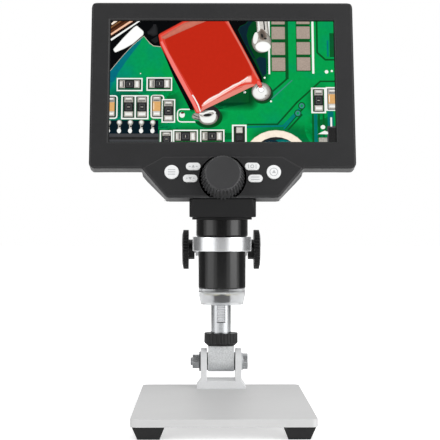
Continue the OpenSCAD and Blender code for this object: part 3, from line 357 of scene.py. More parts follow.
# Faces at the rib tips take the second material, whose lighter colour is a painted glint
focus_knob_shown.data.materials.append(rib_black)
KNOB_AXIS = HEAD @ Vector((0, 0, KNOB_UP))
for face in focus_knob_shown.data.polygons:
    from_axis = (face.center / MM - KNOB_AXIS) @ HEAD.to_3x3()
    if math.hypot(from_axis.x, from_axis.z) > KNOB_RIM_R - KNOB_RIB_D / 2:
        face.material_index = 1
for key in KEY_AT:
    for side in ["_left", "_right"]:
        eased(key + side, key_white, 0.35, 3)

# ---- Nodes that stay as they are ------------------------------------------------------------
KEPT = {
    zinc: ["foot_screws", "bracket_screws", "usb_socket", "card_socket"],
    bolt_steel: ["pinion_shaft", "focus_shaft", "tension_screw", "cover_screws"],
    lamp_board: ["led_board"], lamp_yellow: ["leds"], cover_black: ["lens_carriage"],
    screen_black: ["display_glass"], tray_grey: ["lcd_panel"],
    board_green: ["main_board", "key_board", "sensor_board"], cell_blue: ["battery_pack"],
    barrel_black: ["lens_barrel"],
}
for material, names in KEPT.items():
    for name in names:
        NODES[name].data.materials.clear()
        NODES[name].data.materials.append(material)


# ---- The picture on the screen: a circuit board under the lens, in thin lit layers ------------
# Across the head, a display tone's other colour ends here and its main colour begins there
OTHER_ENDS, COLOUR_STARTS = -78.0, -30.0


def lit_group():
    """A display colour with a little unevenness, a second colour that comes in across the screen, and
    light and shade from the points of the shape: above 1 it goes towards white."""
    tree, given, out = group("display_tone", [
        ("Colour", COLOUR, (0, 0.5, 0.1, 1)), ("Other Colour", COLOUR, (0, 0.3, 0.2, 1)),
        ("Grain Scale", FLOAT, 500.0), ("Grain", FLOAT, 0.1)], [("Colour", COLOUR)])
    place = add(tree, "ShaderNodeTexCoord").outputs["Object"]
    across = add(tree, "ShaderNodeSeparateXYZ", [("Vector", place)]).outputs["X"]
    speckle = add(tree, "ShaderNodeTexNoise", [("Vector", place), ("Scale", given["Grain Scale"])],
                  Detail=3.0).outputs["Fac"]
    drift = add(tree, "ShaderNodeTexNoise", [("Vector", place)], Scale=60.0, Detail=2.0).outputs["Fac"]
    share = calc(tree, "ADD", spread(tree, drift, 0.35, 0.65, -0.3, 0.3),
                 spread(tree, across, OTHER_ENDS * MM, COLOUR_STARTS * MM), clamp=True)
    mixed = add(tree, "ShaderNodeMix", data_type="RGBA")
    tree.links.new(share, mixed.inputs["Factor"])
    tree.links.new(given["Other Colour"], mixed.inputs[6])
    tree.links.new(given["Colour"], mixed.inputs[7])
    shade = add(tree, "ShaderNodeAttribute", attribute_name="shade").outputs["Fac"]
    tone = calc(tree, "MULTIPLY_ADD", spread(tree, speckle, 0.25, 0.75, -1.0, 1.0), given["Grain"], 1.0)
    dimmed = calc(tree, "MULTIPLY", tone, calc(tree, "MINIMUM", shade, 1.0))
    tinted = add(tree, "ShaderNodeVectorMath", operation="SCALE")
    tree.links.new(mixed.outputs[2], tinted.inputs[0])
    tree.links.new(dimmed, tinted.inputs["Scale"])
    gloss = add(tree, "ShaderNodeCombineXYZ")
    over = calc(tree, "MAXIMUM", calc(tree, "SUBTRACT", shade, 1.0), 0.0)
    for axis in "XYZ":
        tree.links.new(over, gloss.inputs[axis])
    glossed = add(tree, "ShaderNodeVectorMath", operation="ADD")
    tree.links.new(tinted.outputs[0], glossed.inputs[0])
    tree.links.new(gloss.outputs[0], glossed.inputs[1])
    tree.links.new(glossed.outputs[0], out["Colour"])
    return tree


LIT = lit_group()


def lit(name, colour, other=None, scale=500.0, grain=0.08):
    """A colour of the display: it shines by itself under a smooth dark glass."""
    material = bpy.data.materials.new("display_" + name)
    tree, out = emptied(material)
    shader = add(tree, "ShaderNodeBsdfPrincipled", Base_Color=(0.001, 0.001, 0.001, 1), Roughness=0.16,
                 Specular_IOR_Level=0.05, Emission_Strength=1.0)
    tree.links.new(shader.outputs["BSDF"], out.inputs["Surface"])
    tone = add(tree, "ShaderNodeGroup", node_tree=LIT)
    for label, value in [("Colour", srgb(colour)), ("Other Colour", srgb(other or colour)),
                         ("Grain Scale", scale), ("Grain", grain)]:
        tone.inputs[label].default_value = value
    tree.links.new(tone.outputs["Colour"], shader.inputs["Emission Color"])
    return material


DISPLAY = [
    lit("green", (0, 158, 76), (0, 138, 112)), lit("dark", (3, 4, 6), grain=0.2),
    lit("red", (198, 40, 20), grain=0.03), lit("bright_red", (226, 62, 44), grain=0.03),
    lit("pink", (224, 122, 106), grain=0.04), lit("white", (246, 247, 244), grain=0.03),
    lit("silver", (176, 172, 164), scale=1100.0, grain=0.3), lit("tan", (222, 172, 110), scale=900.0),
    lit("body", (40, 40, 40), scale=1300.0, grain=0.35), lit("pad", (170, 154, 142), scale=1500.0, grain=0.2),
    lit("trace", (6, 92, 38), (8, 84, 66)), lit("teal", (0, 124, 118), (0, 108, 126)),
    lit("brown", (84, 46, 24)), lit("peach", (238, 186, 152)), lit("grey", (72, 73, 76)),
    lit("cream", (252, 238, 220)), lit("facet", (204, 116, 98)), lit("night", (8, 42, 56)),
]
TONES = {material.name[len("display_"):]: place for place, material in enumerate(DISPLAY)}
TO_WINDOW = HEAD @ Matrix.Translation((PICTURE_SIDE - WINDOW_W / 2, GLASS_D - PICTURE_GAP,
                                       WINDOW_TOP - PICTURE_TOP)) \
    @ Matrix.Rotation(math.radians(90), 4, "X") \
    @ Matrix.Diagonal(((WINDOW_W - 2 * PICTURE_SIDE) / DRAWN_W, (WINDOW_H - 2 * PICTURE_TOP) / DRAWN_H, 1, 1))
picture = bmesh.new()
picture.verts.layers.float.new("shade")


def add_raised(whole, form, height, matrix, slot=0):
    """Thickens a flat shape, sets it in place and adds it to a bigger one."""
    raised = bmesh.ops.extrude_face_region(form, geom=form.faces[:])
    bmesh.ops.translate(form, verts=[v for v in raised["geom"] if isinstance(v, bmesh.types.BMVert)],
                        vec=(0, 0, height))
    bmesh.ops.transform(form, matrix=Matrix.Scale(MM, 4) @ matrix, verts=form.verts)
    bmesh.ops.recalc_face_normals(form, faces=form.faces)
    for face in form.faces:
        face.material_index = slot
    part = bpy.data.meshes.new("part")
    form.to_mesh(part)
    form.free()
    whole.from_mesh(part)
    bpy.data.meshes.remove(part)


def on_screen(form, tone, layer, rims=(), heart=1.0):
    """Shades a flat shape drawn from the window's top left corner, trims it to the sheet and adds it to
    the picture. Rims are (shade, width) from the outside in; heart is the shade inside them."""
    bright = form.verts.layers.float.new("shade")
    form.faces.ensure_lookup_table()
    inner = form.faces[0]
    for shade, width in list(rims) + [(heart, 0)]:
        for vert in inner.verts:
            vert[bright] = shade
        if width:
            bmesh.ops.inset_region(form, faces=[inner], thickness=width, use_boundary=True,
                                   use_even_offset=False)
    bmesh.ops.translate(form, verts=form.verts, vec=(DRAWN_SHIFT, 0, 0))
    for at, out in [((0, 0), (-1, 0)), ((DRAWN_W, 0), (1, 0)), ((0, 0), (0, 1)), ((0, -DRAWN_H), (0, -1))]:
        bmesh.ops.bisect_plane(form, geom=form.verts[:] + form.edges[:] + form.faces[:], dist=0.0001,
                               plane_co=(*at, 0), plane_no=(*out, 0), clear_outer=True)
    if form.faces:
        add_raised(picture, form, LAYER * (layer + 1), TO_WINDOW, TONES[tone])
    else:
        form.free()


def patch(tone, layer, points, soft=0.0, **shading):
    """A flat patch of the picture; soft is how far its corners are rounded."""
    form = bmesh.new()
    corners = [form.verts.new((x, -y, 0)) for x, y in points]
    form.faces.new(corners)
    if soft:
        bmesh.ops.bevel(form, geom=corners, offset=soft, offset_type="OFFSET", segments=CORNER_STEPS,
                        profile=0.5, affect="VERTICES", material=-1, clamp_overlap=True)
    on_screen(form, tone, layer, **shading)


def block(tone, layer, left, top, right, low, soft=0.0, **shading):
    """An upright rectangle of the picture."""
    patch(tone, layer, [(left, top), (right, top), (right, low), (left, low)], soft, **shading)


def frame_line(layer, left, top, right, low, line, soft=0.0):
    """A printed outline: a white rectangle with a shaded green one on it."""
    block("white", layer, left, top, right, low, soft)
    block("trace", layer + 1, left + line, top + line, right - line, low - line, soft * 0.6,
          rims=[(0.6, 0.7)])


def blot(tone, layer, x, y, rx, ry, turn=0.0, **shading):
    """An oval of the picture."""
    form = bmesh.new()
    bmesh.ops.create_circle(form, cap_ends=True, segments=OVAL_SIDES, radius=1)
    bmesh.ops.transform(form, verts=form.verts, matrix=Matrix.Translation((x, -y, 0))
                        @ Matrix.Rotation(math.radians(turn), 4, "Z") @ Matrix.Diagonal((rx, ry, 1, 1)))
    on_screen(form, tone, layer, **shading)


def stroke(tone, layer, points, width, **shading):
    """A line of the picture, drawn as one slim patch a stretch with round joints."""
    for (ax, ay), (bx, by) in zip(points, points[1:]):
        length = math.hypot(bx - ax, by - ay)
        nx, ny = (by - ay) / length * width / 2, (ax - bx) / length * width / 2
        patch(tone, layer, [(ax + nx, ay + ny), (bx + nx, by + ny), (bx - nx, by - ny), (ax - nx, ay - ny)],
              **shading)
    for x, y in points[1:-1]:
        blot(tone, layer, x, y, width / 2, width / 2, **shading)


def dusk(x, y, rx, ry, deep):
    """A soft shade on the green board."""
    step = min(rx, ry) * 0.22
    blot("green", 1, x, y, rx, ry, heart=deep,
         rims=[(1.0, step), (1 - (1 - deep) * 0.3, step), (1 - (1 - deep) * 0.75, step)])


def bead(layer, x, y, rx, ry):
    """A drop of solder: dark at its rim, light inside."""
    step = min(rx, ry) * 0.2
    blot("silver", layer, x, y, rx, ry, rims=[(0.35, step), (0.85, step), (1.15, step)], heart=1.4)


def chip(layer, left, top, right, low, middle="body", upright=True):
    """A surface mount part: a body between two soldered silver ends."""
    def spot(tone, add_layer, across, along, to_across, to_along, soft=0.0, **shading):
        """A rectangle in shares of the part's own width and length."""
        wide, long = right - left, low - top
        if upright:
            block(tone, layer + add_layer, left + wide * across, top + long * along,
                  left + wide * to_across, top + long * to_along, soft, **shading)
        else:
            block(tone, layer + add_layer, left + wide * along, top + long * across,
                  left + wide * to_along, top + long * to_across, soft, **shading)
    spot("body", 0, -0.04, -0.03, 1.04, 1.03, 0.4)
    spot("silver", 1, 0, 0, 1, 0.3, 0.5, rims=[(0.5, 0.5), (0.9, 0.5)], heart=1.1)
    spot("silver", 1, 0, 0.7, 1, 1, 0.5, rims=[(0.5, 0.5), (0.95, 0.5)], heart=1.25)
    spot(middle, 2, 0.03, 0.26, 0.97, 0.73, rims=[(0.6, 0.5)])
    spot("white", 3, 0.16, 0.82, 0.86, 0.9, 0.2)
    spot("white", 3, 0.2, 0.05, 0.8, 0.09)
    spot("grey", 3, 0.14, 0.17, 0.86, 0.22)
    if middle == "body":
        spot("grey", 3, 0.2, 0.34, 0.8, 0.66, 0.3, rims=[(1.2, 0.3)], heart=0.7)
        spot("body", 4, 0.32, 0.41, 0.68, 0.59)
        spot("silver", 5, 0.36, 0.48, 0.64, 0.52)
    else:
        spot("cream", 3, 0.12, 0.32, 0.2, 0.66)


def framed_chip(outline, part, middle="body", upright=True, layer=2, line=0.9, soft=0.0):
    """A surface mount part in its printed outline; both are given as left, top, right and low."""
    frame_line(layer, *outline, line, soft)
    chip(layer + 2, *part, middle, upright)


# The drawing: places are across and down from the sheet's top left corner, and a higher layer lies over
# a lower one
def draw_board():
    """The green board and the soft shades on it."""
    beyond = 3
    block("green", 0, -beyond, 0, DRAWN_W + beyond, DRAWN_H)
    for shade in [(16, 62, 26, 20, 0.4), (40, 62, 16, 18, 0.45), (18, 80, 34, 11, 0.32), (56, 84, 34, 9, 0.4),
                  (34, 48, 16, 8, 0.65), (124, 84, 28, 12, 0.5), (148, 78, 12, 14, 0.4),
                  (146, 58, 11, 14, 0.55), (66, 68, 18, 9, 0.4)]:
        dusk(*shade)


def draw_dark_corner():
    """The dark corner behind the board, with a coil and its white lead."""
    board_edge = [(23.7, 11.7), (16.7, 18.3), (10.3, 25.5), (5, 32.2), (-1.7, 40.9), (-1.7, 56.6),
                  (2.9, 47.2), (6.7, 38.3), (11.8, 30.4), (16.3, 23.7), (21.3, 16.8)]
    patch("teal", 1, board_edge)
    cream_edge = [(-1.7, -1), (44.3, -1), (37.8, 19), (35.9, 19.1), (31.1, 18.5), (28.4, 16.4),
                  (24.4, 11.1), (16.7, 18.1), (10.3, 25.4), (5, 32.1), (-1.7, 40.8)]
    patch("cream", 2, cream_edge, heart=0.55)
    corner = [(-1.7, -1), (63.3, -1), (37.8, 18.5), (35.9, 18.6), (31.3, 18), (28.7, 16), (24.4, 10.7),
              (16.5, 17.8), (10.1, 25.1), (4.8, 31.8), (-1.7, 40.3)]
    patch("dark", 3, corner)
    patch("brown", 4, [(-0.7, 4.6), (6.3, 0), (14, 0), (-0.7, 10.3)], rims=[(0.6, 0.6)])
    stroke("tan", 5, [(-0.7, 6.2), (9.3, -1)], 0.35, heart=0.5)
    stroke("dark", 5, [(-0.7, 7.8), (11.9, -1)], 0.5)
    patch("cream", 5, [(1.5, 1.7), (3.5, -0.2), (6.1, -0.2), (1.9, 2.9)])
    patch("brown", 5, [(-0.7, 12), (16.9, 0), (18.5, 0), (-0.7, 13.2)], heart=0.3)
    patch("peach", 5, [(1.3, 9.1), (14.2, 0), (16.7, 0), (1.5, 10.6)], rims=[(0.7, 0.3)], heart=1.05)
    patch("white", 5, [(1.1, 13.3), (20, 0), (21.7, 0), (1.7, 14.6)], rims=[(0.75, 0.25)])
    lead = [(3, 20.9), (5.8, 17.6), (9.8, 12.6), (17.1, 4.7), (19.4, 3.1), (24.3, 7.6), (24.1, 10.1),
            (16.7, 16.9), (11.3, 20.2), (4.5, 23.4)]
    patch("white", 5, lead, 0.8, rims=[(0.6, 0.3), (0.9, 0.4)], heart=1.1)
    patch("grey", 4, [(26.3, 8.8), (31.9, 1.7), (33.9, 4.2), (34.3, 9.9), (30.9, 11.5)], 1,
          rims=[(0.12, 1.0), (0.25, 1.2)], heart=0.36)
    patch("grey", 4, [(29.3, 14.1), (33.9, 10.9), (34.5, 14.9), (32.3, 16.4)], rims=[(0.1, 0.8)],
          heart=0.2)


def draw_traces():
    """Traces and their round eyes on the right."""
    block("trace", 2, 123.2, 0, 125.4, 42.6, rims=[(1.25, 0.4)], heart=0.8)
    stroke("trace", 4, [(124.3, 42.3), (112.4, 53.2), (111, 55.4)], 1.3, heart=0.85)
    stroke("trace", 2, [(145.6, 0), (145.6, 23), (151.2, 28.3), (159, 28.3)], 1.3, heart=0.85)
    block("trace", 2, 154.4, 8.6, 159, 26.4)
    block("teal", 3, 152.4, 14, 153.6, 26)
    stroke("trace", 2, [(160, 44.2), (147.4, 44.2), (130.8, 59.6), (117.2, 75.4), (96, 75.6)], 1.2,
           heart=0.85)
    stroke("trace", 2, [(136.4, 62.4), (122.4, 78.4)], 1.2, heart=0.85)
    stroke("teal", 2, [(134.4, 62), (121.2, 76.6), (96, 77.4)], 1.1)
    stroke("trace", 2, [(134.4, 68.2), (124.4, 79.6)], 1.2, heart=0.85)
    stroke("teal", 3, [(131.2, 67.2), (121.6, 78.6)], 1.1)
    stroke("teal", 3, [(127.8, 43.4), (113.2, 57.2)], 0.7, heart=1.05)
    for x, y in [(134.2, 62), (131.4, 67.4)]:
        blot("trace", 4, x, y, 2.5, 2.7, rims=[(1.0, 0.6)], heart=0.8)
        blot("teal", 5, x, y, 1.8, 1.9, heart=1.05)
        blot("green", 6, x, y, 0.9, 1.0)


def draw_pads():
    """Two rows of pads on the right, and the printed lines and dots."""
    for top, low in [(0, 2.2), (4, 13.2), (15.6, 24.8), (26.8, 36.6)]:
        for left, rise in [(113.8, 0), (131.3, 0.3)]:
            block("trace", 2, left - 0.5, max(top - rise - 0.4, 0), left + 10, low - rise + 0.7, 0.4)
            block("pad", 3, left, max(top - rise, 0), left + 9.4, low - rise, 0.4, rims=[(0.8, 0.5)])
    for y in [2.3, 13.6, 25.2]:
        block("trace", 3, 113.4, y, 123.2, y + 1.6, heart=0.8)
        block("trace", 3, 130.8, y - 0.2, 140.4, y + 1.4, heart=0.8)
    block("white", 3, 111.4, 0, 112.6, 39)
    block("white", 3, 141.9, 0, 143.4, 38.6, 0.4)
    for x, y, r in [(151.9, 37.2, 1.3), (155.6, 36.6, 0.8), (108.7, 41.6, 0.7), (94.8, 52.2, 0.9),
                    (112.9, 58.8, 0.7), (22.4, 38.6, 0.4), (124.6, 84.4, 0.4)]:
        blot("white", 3, x, y, r, r)


def draw_dark_board():
    """The dark board in the red part's shade."""
    patch("green", 2, [(78, -8), (116, -8), (114.6, 22), (116, 32), (111, 50), (102, 66), (70, 66)], 3,
          rims=[(1.0, 2.2), (0.6, 2.2), (0.3, 2.0)], heart=0.16)
    blue_edge = [(90.7, 6.3), (91.9, 4), (95.9, 2), (98.3, -1), (101.3, -1), (97.8, 4.2), (96.3, 10.5),
                 (97.9, 17.8), (102.3, 27.3), (100.3, 27.3), (95.3, 17.4)]
    patch("night", 3, blue_edge, heart=0.7)
    patch("night", 3, [(102.7, 28.3), (105.3, 26.2), (109.7, 27.3), (109.9, 38.8), (107.3, 40.9)],
          rims=[(0.6, 1.0)], heart=0.95)
    patch("dark", 4, [(36, 18), (41, 9), (62, 66), (57.6, 66.4), (45, 40.4)])
    shade = [(81.3, -1), (97.7, -1), (95.7, 1.7), (91.7, 3.6), (90.3, 6.3), (92.2, 10.8), (95.3, 17.4),
             (98.5, 24), (102.9, 32.6), (106.7, 41.1), (107.2, 45.5), (103.3, 48.3)]
    patch("dark", 4, shade)
    stroke("green", 5, [(96.1, 17.8), (99.5, 24.8), (103.9, 33.1), (107.5, 41.5)], 0.7, heart=0.15)


def draw_red_part():
    """The red part: its outline, face and facet."""
    outline = [(34.4, 9.8), (53, -1), (83.2, -1), (85.9, 4.2), (92.8, 17.4), (100.4, 32.6), (102.9, 38),
               (105.6, 43.4), (106.3, 46), (104.4, 48.8), (101.6, 48.4), (96.5, 48.5), (92, 50.2),
               (87.5, 52.3), (78.6, 56.9), (72, 60.8), (67.4, 64.4), (64.6, 68.4), (61.8, 68.2),
               (58.6, 61.6), (36, 18.2)]
    patch("bright_red", 5, outline, 1.4, rims=[(0.55, 0.8), (0.95, 0.9), (1.06, 1.2)])
    face = [(38.4, 13.4), (54.6, 2.6), (62, -1), (80.8, -1), (83.8, 3.6), (91.4, 17.8), (97.8, 30.8),
            (100.6, 38), (99, 42.6), (93.6, 45), (85, 49), (76.3, 53.4), (70, 57.4), (65.6, 62.6),
            (63.4, 64.6), (60.6, 57), (41.6, 23)]
    patch("red", 6, face, 1.6, rims=[(1.06, 0.7), (0.98, 0.8)], heart=0.95)
    facet = [(36.4, 11.8), (52.8, 1.2), (60, -1), (68, -1), (60, 3.4), (45, 10.4), (38.6, 13.6)]
    patch("facet", 7, facet, 0.8, rims=[(0.75, 0.6), (0.9, 0.8)])


def draw_red_gloss():
    """The gloss along the red part's lower and side edges."""
    lower_edge = [(64, 65.6), (66, 62.2), (69.6, 59.3), (73.2, 57.4), (77.7, 55.1), (82.2, 52.8),
                  (86.6, 50.4), (91.1, 48.3), (95.6, 46.7), (100.1, 46.2), (102.3, 46.9), (100.1, 47.5),
                  (95.6, 47.9), (91.1, 49.6), (86.6, 51.7), (82.2, 54.1), (77.7, 56.4), (73.2, 58.8),
                  (69.6, 60.9), (66.3, 63.8), (64.5, 66.4)]
    patch("pink", 7, lower_edge, 0.3, rims=[(0.85, 0.3)], heart=1.06)
    ridge = [(64.7, 61.8), (66.5, 59.3), (70.1, 56.5), (73.2, 54.7), (76.8, 53), (79.5, 50.9),
             (83.1, 48.9), (86.6, 46.6), (91.1, 44.5), (94.7, 42.3), (95.7, 44.5), (93.3, 45.9),
             (88.9, 48), (83.9, 50.4), (80.4, 52.3), (76.8, 54.6), (73.2, 56.4), (69.6, 58.9),
             (66.5, 61.4), (65.1, 62.8)]
    patch("pink", 8, ridge, 0.3, rims=[(0.8, 0.3), (1.1, 0.3)], heart=1.45)
    tip = [(92.3, 44), (94.7, 42), (96.9, 40.3), (99.3, 39.8), (100.1, 42.4), (99.7, 45.2), (95.3, 45.6),
           (92.3, 46.2)]
    patch("pink", 8, tip, 0.6, rims=[(0.9, 0.6), (1.1, 0.6)], heart=1.4)
    glint = [(66.3, 60.6), (69.9, 57.5), (73.3, 55.6), (76.9, 53.8), (79.9, 51.5), (83.3, 49.6),
             (86.9, 47.3), (91.3, 45.2), (94.9, 42.8), (97.1, 41.2)]
    stroke("white", 9, glint, 0.7)
    stroke("bright_red", 9, [(75.3, 57), (81.3, 54), (87.3, 50.6), (93.3, 48.2)], 0.3, heart=0.8)
    left_edge = [(36.0, 15.4), (37.4, 14.8), (58.2, 55), (63.2, 66.6), (61.6, 66.8), (45, 35.4)]
    patch("bright_red", 7, left_edge, rims=[(1.0, 0.3)], heart=1.16)
    stroke("white", 9, [(64, 66.4), (62.4, 61.4), (59.6, 56), (58.4, 54.2)], 0.9)
    right_edge = [(82.1, -1), (83.3, -1), (85.5, 4.2), (92.4, 17.6), (100, 32.8), (102.5, 38.1),
                  (104.7, 42.6), (103.9, 43), (100.9, 37.3), (91.5, 18.3), (84.5, 4.2)]
    patch("pink", 7, right_edge, rims=[(0.85, 0.2)], heart=0.95)
    blot("bright_red", 8, 105.0, 46.4, 1.6, 3.2, 24, rims=[(0.8, 0.5)], heart=1.1)


def draw_solder_shade():
    """Dark green under the drops of solder."""
    block("trace", 3, 74.4, 49, 97.4, 59.6, 0.6, rims=[(0.9, 0.5)], heart=0.75)
    blot("trace", 3, 107, 53.2, 7.6, 7.4, rims=[(1.0, 0.4)], heart=0.7)
    blot("trace", 3, 69.4, 70.4, 10, 7.8, rims=[(1.0, 0.6)], heart=0.6)


def draw_upper_solder():
    """The red part's upper lead and its solder."""
    patch("silver", 6, [(103, -1), (111.2, -1), (112.4, 12), (104, 13)], 0.5,
          rims=[(0.4, 0.9), (0.8, 1.0)], heart=1.2)
    blot("silver", 7, 106.8, 15.4, 6.9, 8.0, rims=[(0.3, 1.0), (0.75, 1.2), (0.9, 1.4)])
    blot("white", 8, 107.8, 18.8, 5.4, 3.9, rims=[(0.8, 0.8)], heart=1.1)
    blot("white", 8, 102.6, 12.4, 1.6, 4.4, -8)
    patch("pad", 8, [(104.6, 7.4), (106.8, 5), (109.8, 7.6), (110.8, 12.4), (108, 14.4), (105.2, 13)],
          1.2, rims=[(0.75, 0.7), (0.5, 0.8)], heart=0.3)
    blot("body", 9, 107.2, 10.6, 0.8, 1.5, 20)
    blot("body", 9, 109.5, 12.8, 1.0, 0.7)
    stroke("white", 8, [(104.6, -1), (105.4, 7.6)], 1.0)
    stroke("body", 8, [(108.4, -1), (109, 6.4)], 0.9)


def draw_right_solder():
    """The drop of solder at the red part's tip."""
    blot("body", 4, 106.8, 52.2, 6.8, 6.8)
    bead(6, 106.2, 51.7, 6.7, 6.7)
    blot("white", 7, 105.4, 52.4, 5.2, 4.9, 20, rims=[(0.7, 0.6), (0.85, 0.6)])
    blot("grey", 8, 106.2, 50.4, 2.1, 1.9, rims=[(0.8, 0.5)], heart=2.2)
    stroke("body", 9, [(102.8, 49.4), (104.2, 47.4), (106, 47.8), (107.6, 46.6)], 0.5)
    blot("silver", 9, 109.4, 54.6, 0.9, 0.6, 30, heart=0.8)


def draw_left_solder():
    """The lower lead, its drop of solder and the printed outline beside it."""
    frame_line(2, 47.8, 64.2, 70, 74.2, 0.9, 3)
    block("green", 4, 48.7, 65.1, 69, 73.3, 2, rims=[(0.8, 0.8)], heart=0.95)
    blot("white", 5, 51.4, 68.6, 1.9, 2.1)
    blot("brown", 6, 51.6, 67.2, 1.2, 0.7)
    blot("body", 5, 70.2, 68.4, 7.4, 6.6)
    patch("silver", 6, [(58, 69.3), (59.8, 67.2), (63.3, 67.6), (64.8, 72.4), (60.7, 72.2), (58.3, 71.2)],
          1, rims=[(0.4, 0.6), (0.8, 0.6)], heart=0.9)
    stroke("body", 7, [(58.9, 68.6), (62.7, 70.4)], 0.5)
    stroke("body", 7, [(59.7, 71), (63.7, 72.2)], 0.4)
    blot("silver", 7, 69.2, 70.6, 6.8, 5.4, rims=[(0.35, 0.7), (0.6, 0.8), (0.9, 0.8)], heart=1.1)
    crescent = [(63.1, 68.3), (64.7, 70.2), (66.9, 70.3), (70.1, 70.3), (72.3, 69), (73.9, 67),
                (75, 68.3), (74.5, 71.6), (72.8, 73.9), (69.6, 74.6), (66, 74.2), (64.3, 72.5)]
    patch("white", 8, crescent, 0.8, rims=[(0.8, 0.5)])
    stroke("white", 8, [(63.3, 67.8), (66.5, 67.9), (70.1, 66.2), (72.8, 66), (74.5, 67.4)], 1.3)
    blot("body", 9, 69.0, 68.8, 3.1, 1.2, 6, rims=[(1.6, 0.4)], heart=0.8)


def draw_left_chips():
    """The chips on the left and below."""
    framed_chip((5.9, 41.9, 23.9, 51.5), (7.8, 43.5, 22, 49.3), upright=False)
    framed_chip((26.6, 41.4, 44.4, 51.2), (28.4, 42.8, 42.8, 49.2), upright=False)
    framed_chip((-3, 54.5, 6.8, 71.6), (-1, 56, 4.8, 69.8), "tan", soft=2)
    frame_line(2, 9.3, 54.5, 28.2, 71.9, 1.0)
    block("white", 4, 18.5, 54.5, 19.5, 71.9)
    chip(5, 11.2, 55.8, 17.6, 70.2)
    chip(5, 20.4, 55.8, 26.8, 70.2)
    framed_chip((29.6, 54.2, 39, 71.3), (30.9, 55.2, 36.6, 69.8), "tan", soft=2)
    framed_chip((37.2, 57.3, 46.6, 74.3), (38.8, 58.6, 45.0, 73.0), layer=3)
    framed_chip((36.1, 79.8, 44.8, 90), (37.8, 81.2, 43.6, 91))
    framed_chip((45.2, 79.4, 62.4, 90), (46.8, 81, 60.8, 87.2), upright=False)
    framed_chip((63.8, 79.2, 80.6, 90), (65.2, 80.8, 79, 87), upright=False)


def draw_middle_chip():
    """The dark chip at the lower edge, cut off by the window."""
    frame_line(2, 85.8, 75.7, 95.9, 92, 1.1)
    block("body", 4, 87.4, 76.8, 94.4, 90)
    block("silver", 5, 88.6, 77.4, 93.2, 81.8, 0.4, rims=[(0.6, 0.6)], heart=1.2)
    block("grey", 5, 88.8, 83.4, 93, 86.6, rims=[(1.5, 0.4)], heart=0.6)


def draw_right_chips():
    """The two chips at the right edge, and the traces that leave them."""
    framed_chip((140.8, 48.8, 151, 67.4), (143, 50.2, 149, 66), line=1.1)
    framed_chip((151, 48.4, 160, 65.6), (152.4, 49.8, 159, 64.4), "tan", line=1.0)
    for x in [141.2, 145.4, 148.6]:
        block("trace", 2, x, 68, x + 1.2, 90)
    block("teal", 2, 142.6, 68, 144.8, 90, heart=0.85)
    block("teal", 2, 152, 66, 156, 78, heart=0.85)


def draw_black_chip():
    """The black chip at the lower left, with its pins."""
    block("night", 2, -2, 72.6, 35, 82.6, rims=[(1.0, 1.2)], heart=0.4)
    for x in [0.6, 8.2, 15.8, 23.4, 31.2]:
        bead(4, x, 74.2, 1.9, 2.0)
        block("silver", 4, x - 0.9, 74, x + 0.9, 81, 0.3, rims=[(0.7, 0.4)], heart=1.15)
        blot("white", 6, x - 0.2, 80.2, 1.4, 1.7)
        blot("white", 6, x - 0.2, 73.8, 1.1, 1.0)
        blot("body", 6, x + 0.3, 77, 0.7, 0.6)
    block("grey", 5, -1, 82.2, 35.6, 90, 0.5, heart=0.85)
    block("body", 6, -1, 84.6, 35.2, 86.4)


def draw_hole():
    """The big hole at the lower edge, with its bright ring."""
    blot("cream", 3, 116.2, 103.8, 23.7, 24.2, rims=[(0.75, 0.6)])
    blot("body", 4, 116.2, 103.8, 18.2, 19.3)
    blot("teal", 5, 120, 105.6, 15.4, 19.6, rims=[(0.4, 1.2)], heart=0.9)
    blot("night", 6, 112.6, 106, 14.6, 19.4)


def draw_lower_corner():
    """The part and the printed marks in the lower right corner."""
    block("grey", 5, 151.4, 76.6, 158, 90, 0.6)
    block("body", 6, 152.4, 78, 158, 90)
    blot("white", 5, 148.6, 77.4, 1.6, 1.5)
    patch("white", 5, [(145, 82.4), (149.6, 80), (152, 80.8), (152, 82.6)])
    block("silver", 5, 145.6, 85, 151.4, 88)
    block("white", 6, 153.8, 70.4, 155, 77)


draw_board()
draw_dark_corner()
draw_traces()
draw_pads()
draw_dark_board()
draw_red_part()
draw_red_gloss()
draw_solder_shade()
draw_upper_solder()
draw_right_solder()
draw_left_solder()
draw_left_chips()
draw_middle_chip()
draw_right_chips()
draw_black_chip()
draw_hole()
draw_lower_corner()

screen_picture = placed("screen_picture", picture, DISPLAY, "head", 20, False)


# ---- Small printed marks on the keys ----------------------------------------------------------
def bar(left, low, right, high):
    """A bar; marks are drawn in millimetres from the middle of the key."""
    form = bmesh.new()
    bmesh.ops.create_grid(form, x_segments=1, y_segments=1, size=0.5)
    matrix = Matrix.Translation(((left + right) / 2, (low + high) / 2, 0)) \
        @ Matrix.Diagonal((right - left, high - low, 1, 1))
    bmesh.ops.transform(form, matrix=matrix, verts=form.verts)
    return form


def ring(outer, inner):
    """A ring round the middle."""
    form = bmesh.new()
    bmesh.ops.create_circle(form, cap_ends=True, segments=RING_SIDES, radius=outer)
    bmesh.ops.inset_region(form, faces=form.faces[:], thickness=outer - inner, use_boundary=True)
    bmesh.ops.delete(form, geom=[max(form.faces, key=lambda face: len(face.verts))], context="FACES_ONLY")
    return form


def triangle(x, up, radius, turn=0):
    """A triangle that points up, or down when it is turned by 180 degrees."""
    form = bmesh.new()
    bmesh.ops.create_circle(form, cap_ends=True, segments=3, radius=radius)
    matrix = Matrix.Translation((x, up, 0)) @ Matrix.Rotation(math.radians(turn), 4, "Z")
    bmesh.ops.transform(form, matrix=matrix, verts=form.verts)
    return form


